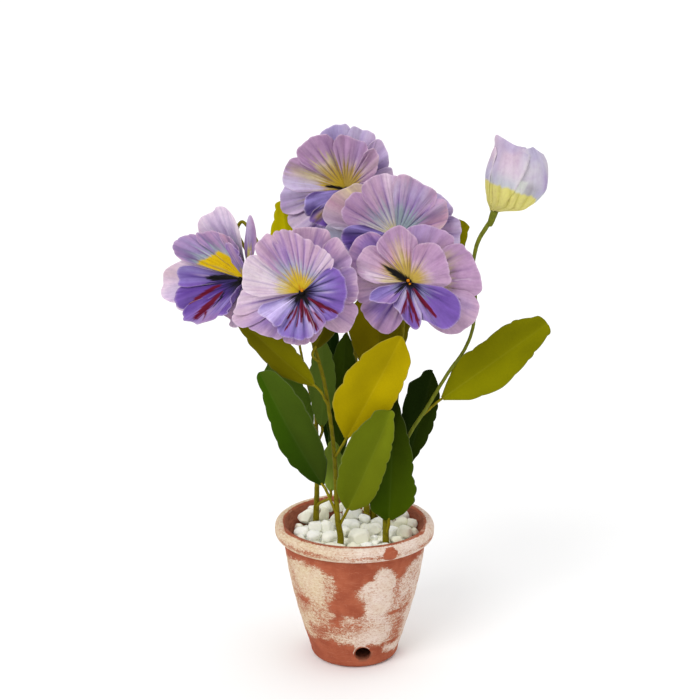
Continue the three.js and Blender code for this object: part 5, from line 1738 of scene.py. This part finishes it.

# %% [markdown]
# ## Marble finish
#
# Tumbled marble is nearly white, waxy rather than glossy, and each stone has its own tinge of
# cream, grey or green. The tinge rides as an attribute, one value for each stone, and faint veins
# and dust come from noise.

# %% Make the pebbles
def marble_finish():
    """White mixed with cream by each stone's tinge, then faint veins and dust over it."""
    marble = Finish("tumbled_marble", 0.38, 0.5)
    tinge = marble.attribute("tinge")
    veins = marble.noise(marble.place, 120.0, 6.0, 0.65, 1.6)
    dust = marble.noise(marble.place, 520.0, 4.0, 0.6)
    colour = marble.mix(tinge, rgb(252, 253, 246), rgb(240, 238, 214))
    colour = marble.over(colour, veins, 0.5, 0.72, 0.4, rgb(222, 226, 208))
    colour = marble.over(colour, dust, 0.6, 0.85, 0.2, rgb(220, 210, 186))
    marble.shader.inputs["Subsurface Weight"].default_value = 0.12
    marble.shader.inputs["Subsurface Radius"].default_value = (0.004, 0.004, 0.003)
    return marble.wear(colour, marble.bump(dust, 0.1, 0.35))


def heap(stones, first_seed, level):
    """Several stones as one set of points, faces and tinges."""
    points, faces, tinges, count = [], [], [], 0
    rng = np.random.default_rng(first_seed)
    for number, stone in enumerate(stones):
        p, f = tumbled_stone(*stone, first_seed + number, level)
        points.append(p)
        faces.append(f + count)
        tinges.append(np.full(len(p), rng.random()))
        count += len(p)
    return np.concatenate(points), np.concatenate(faces), np.concatenate(tinges)


marble = marble_finish()
for number, stone in enumerate(LOOSE_STONES):
    points, faces, tinge = heap([stone], 300 + number, 4)
    piece = make_piece(f"marble_pebble_{number + 1}", points, [faces], measures={"tinge": tinge})
    stand_for(piece, f"pebble_{number + 1}", marble)
upper_points, upper_faces, upper_tinge = heap(SEEN_STONES + dropped, 400, 3)
under_points, under_faces, under_tinge = heap(under, 700, 2)
bed = make_piece("marble_pebble_bed", np.concatenate([upper_points, under_points]),
                 [np.concatenate([upper_faces, under_faces + len(upper_points)])],
                 measures={"tinge": np.concatenate([upper_tinge, under_tinge])})
stand_for(bed, "pebble_bed", marble)
print("bed faces:", len(bed.data.polygons))

# %% [markdown]
# ## Foam
#
# Under the pebbles a plug of florist's foam holds the wires. It hardly shows, only between stones
# from above, so it is a plain turned plug with a crumbled skin.

# %% Make the foam
def foam_plug():
    """The plug turned from its profile, with a skin roughened by smooth noise."""
    heights = np.linspace(24.5, 81.5, 40)
    sides = np.stack([body_radius(heights) - WALL - 0.7, heights], axis=1)
    bottom = np.stack([np.linspace(0.05, sides[0, 0] - 1, 16), np.full(16, 24.2)], axis=1)
    top = np.stack([np.linspace(sides[-1, 0] - 1, 0.05, 16), np.full(16, 81.8)], axis=1)
    rows = np.concatenate([bottom, sides, top])
    radius, height = rows[:, :1], rows[:, 1:]
    turn = np.linspace(0, 2 * math.pi, 96, endpoint=False)[None, :]
    crumb = cloud(turn * 14 + 20, height / 3 + radius / 3, 71) - 0.6
    radius = radius + 0.5 * crumb * ease(5, 20, radius)
    return np.stack([radius * np.cos(turn), radius * np.sin(turn), height + 0 * turn], axis=-1)


foam_points = foam_plug()
foam_rows, foam_sides = foam_points.shape[:2]
foam_faces = [grid_faces(foam_rows, foam_sides, closed=True), np.arange(foam_sides)[None, ::-1],
              ((foam_rows - 1) * foam_sides + np.arange(foam_sides))[None, :]]
plug = make_piece("florist_foam", foam_points, foam_faces)
foam = Finish("crumbly_foam", 0.95, 0.1)
pores = foam.noise(foam.place, 900.0, 4.0, 0.7)
foam_colour = foam.over(rgb(74, 88, 52), pores, 0.35, 0.7, 1.0, rgb(112, 124, 76))
stand_for(plug, "foam_plug", foam.wear(foam_colour, foam.bump(pores, 0.4, 0.8)))
print("foam faces:", len(plug.data.polygons))
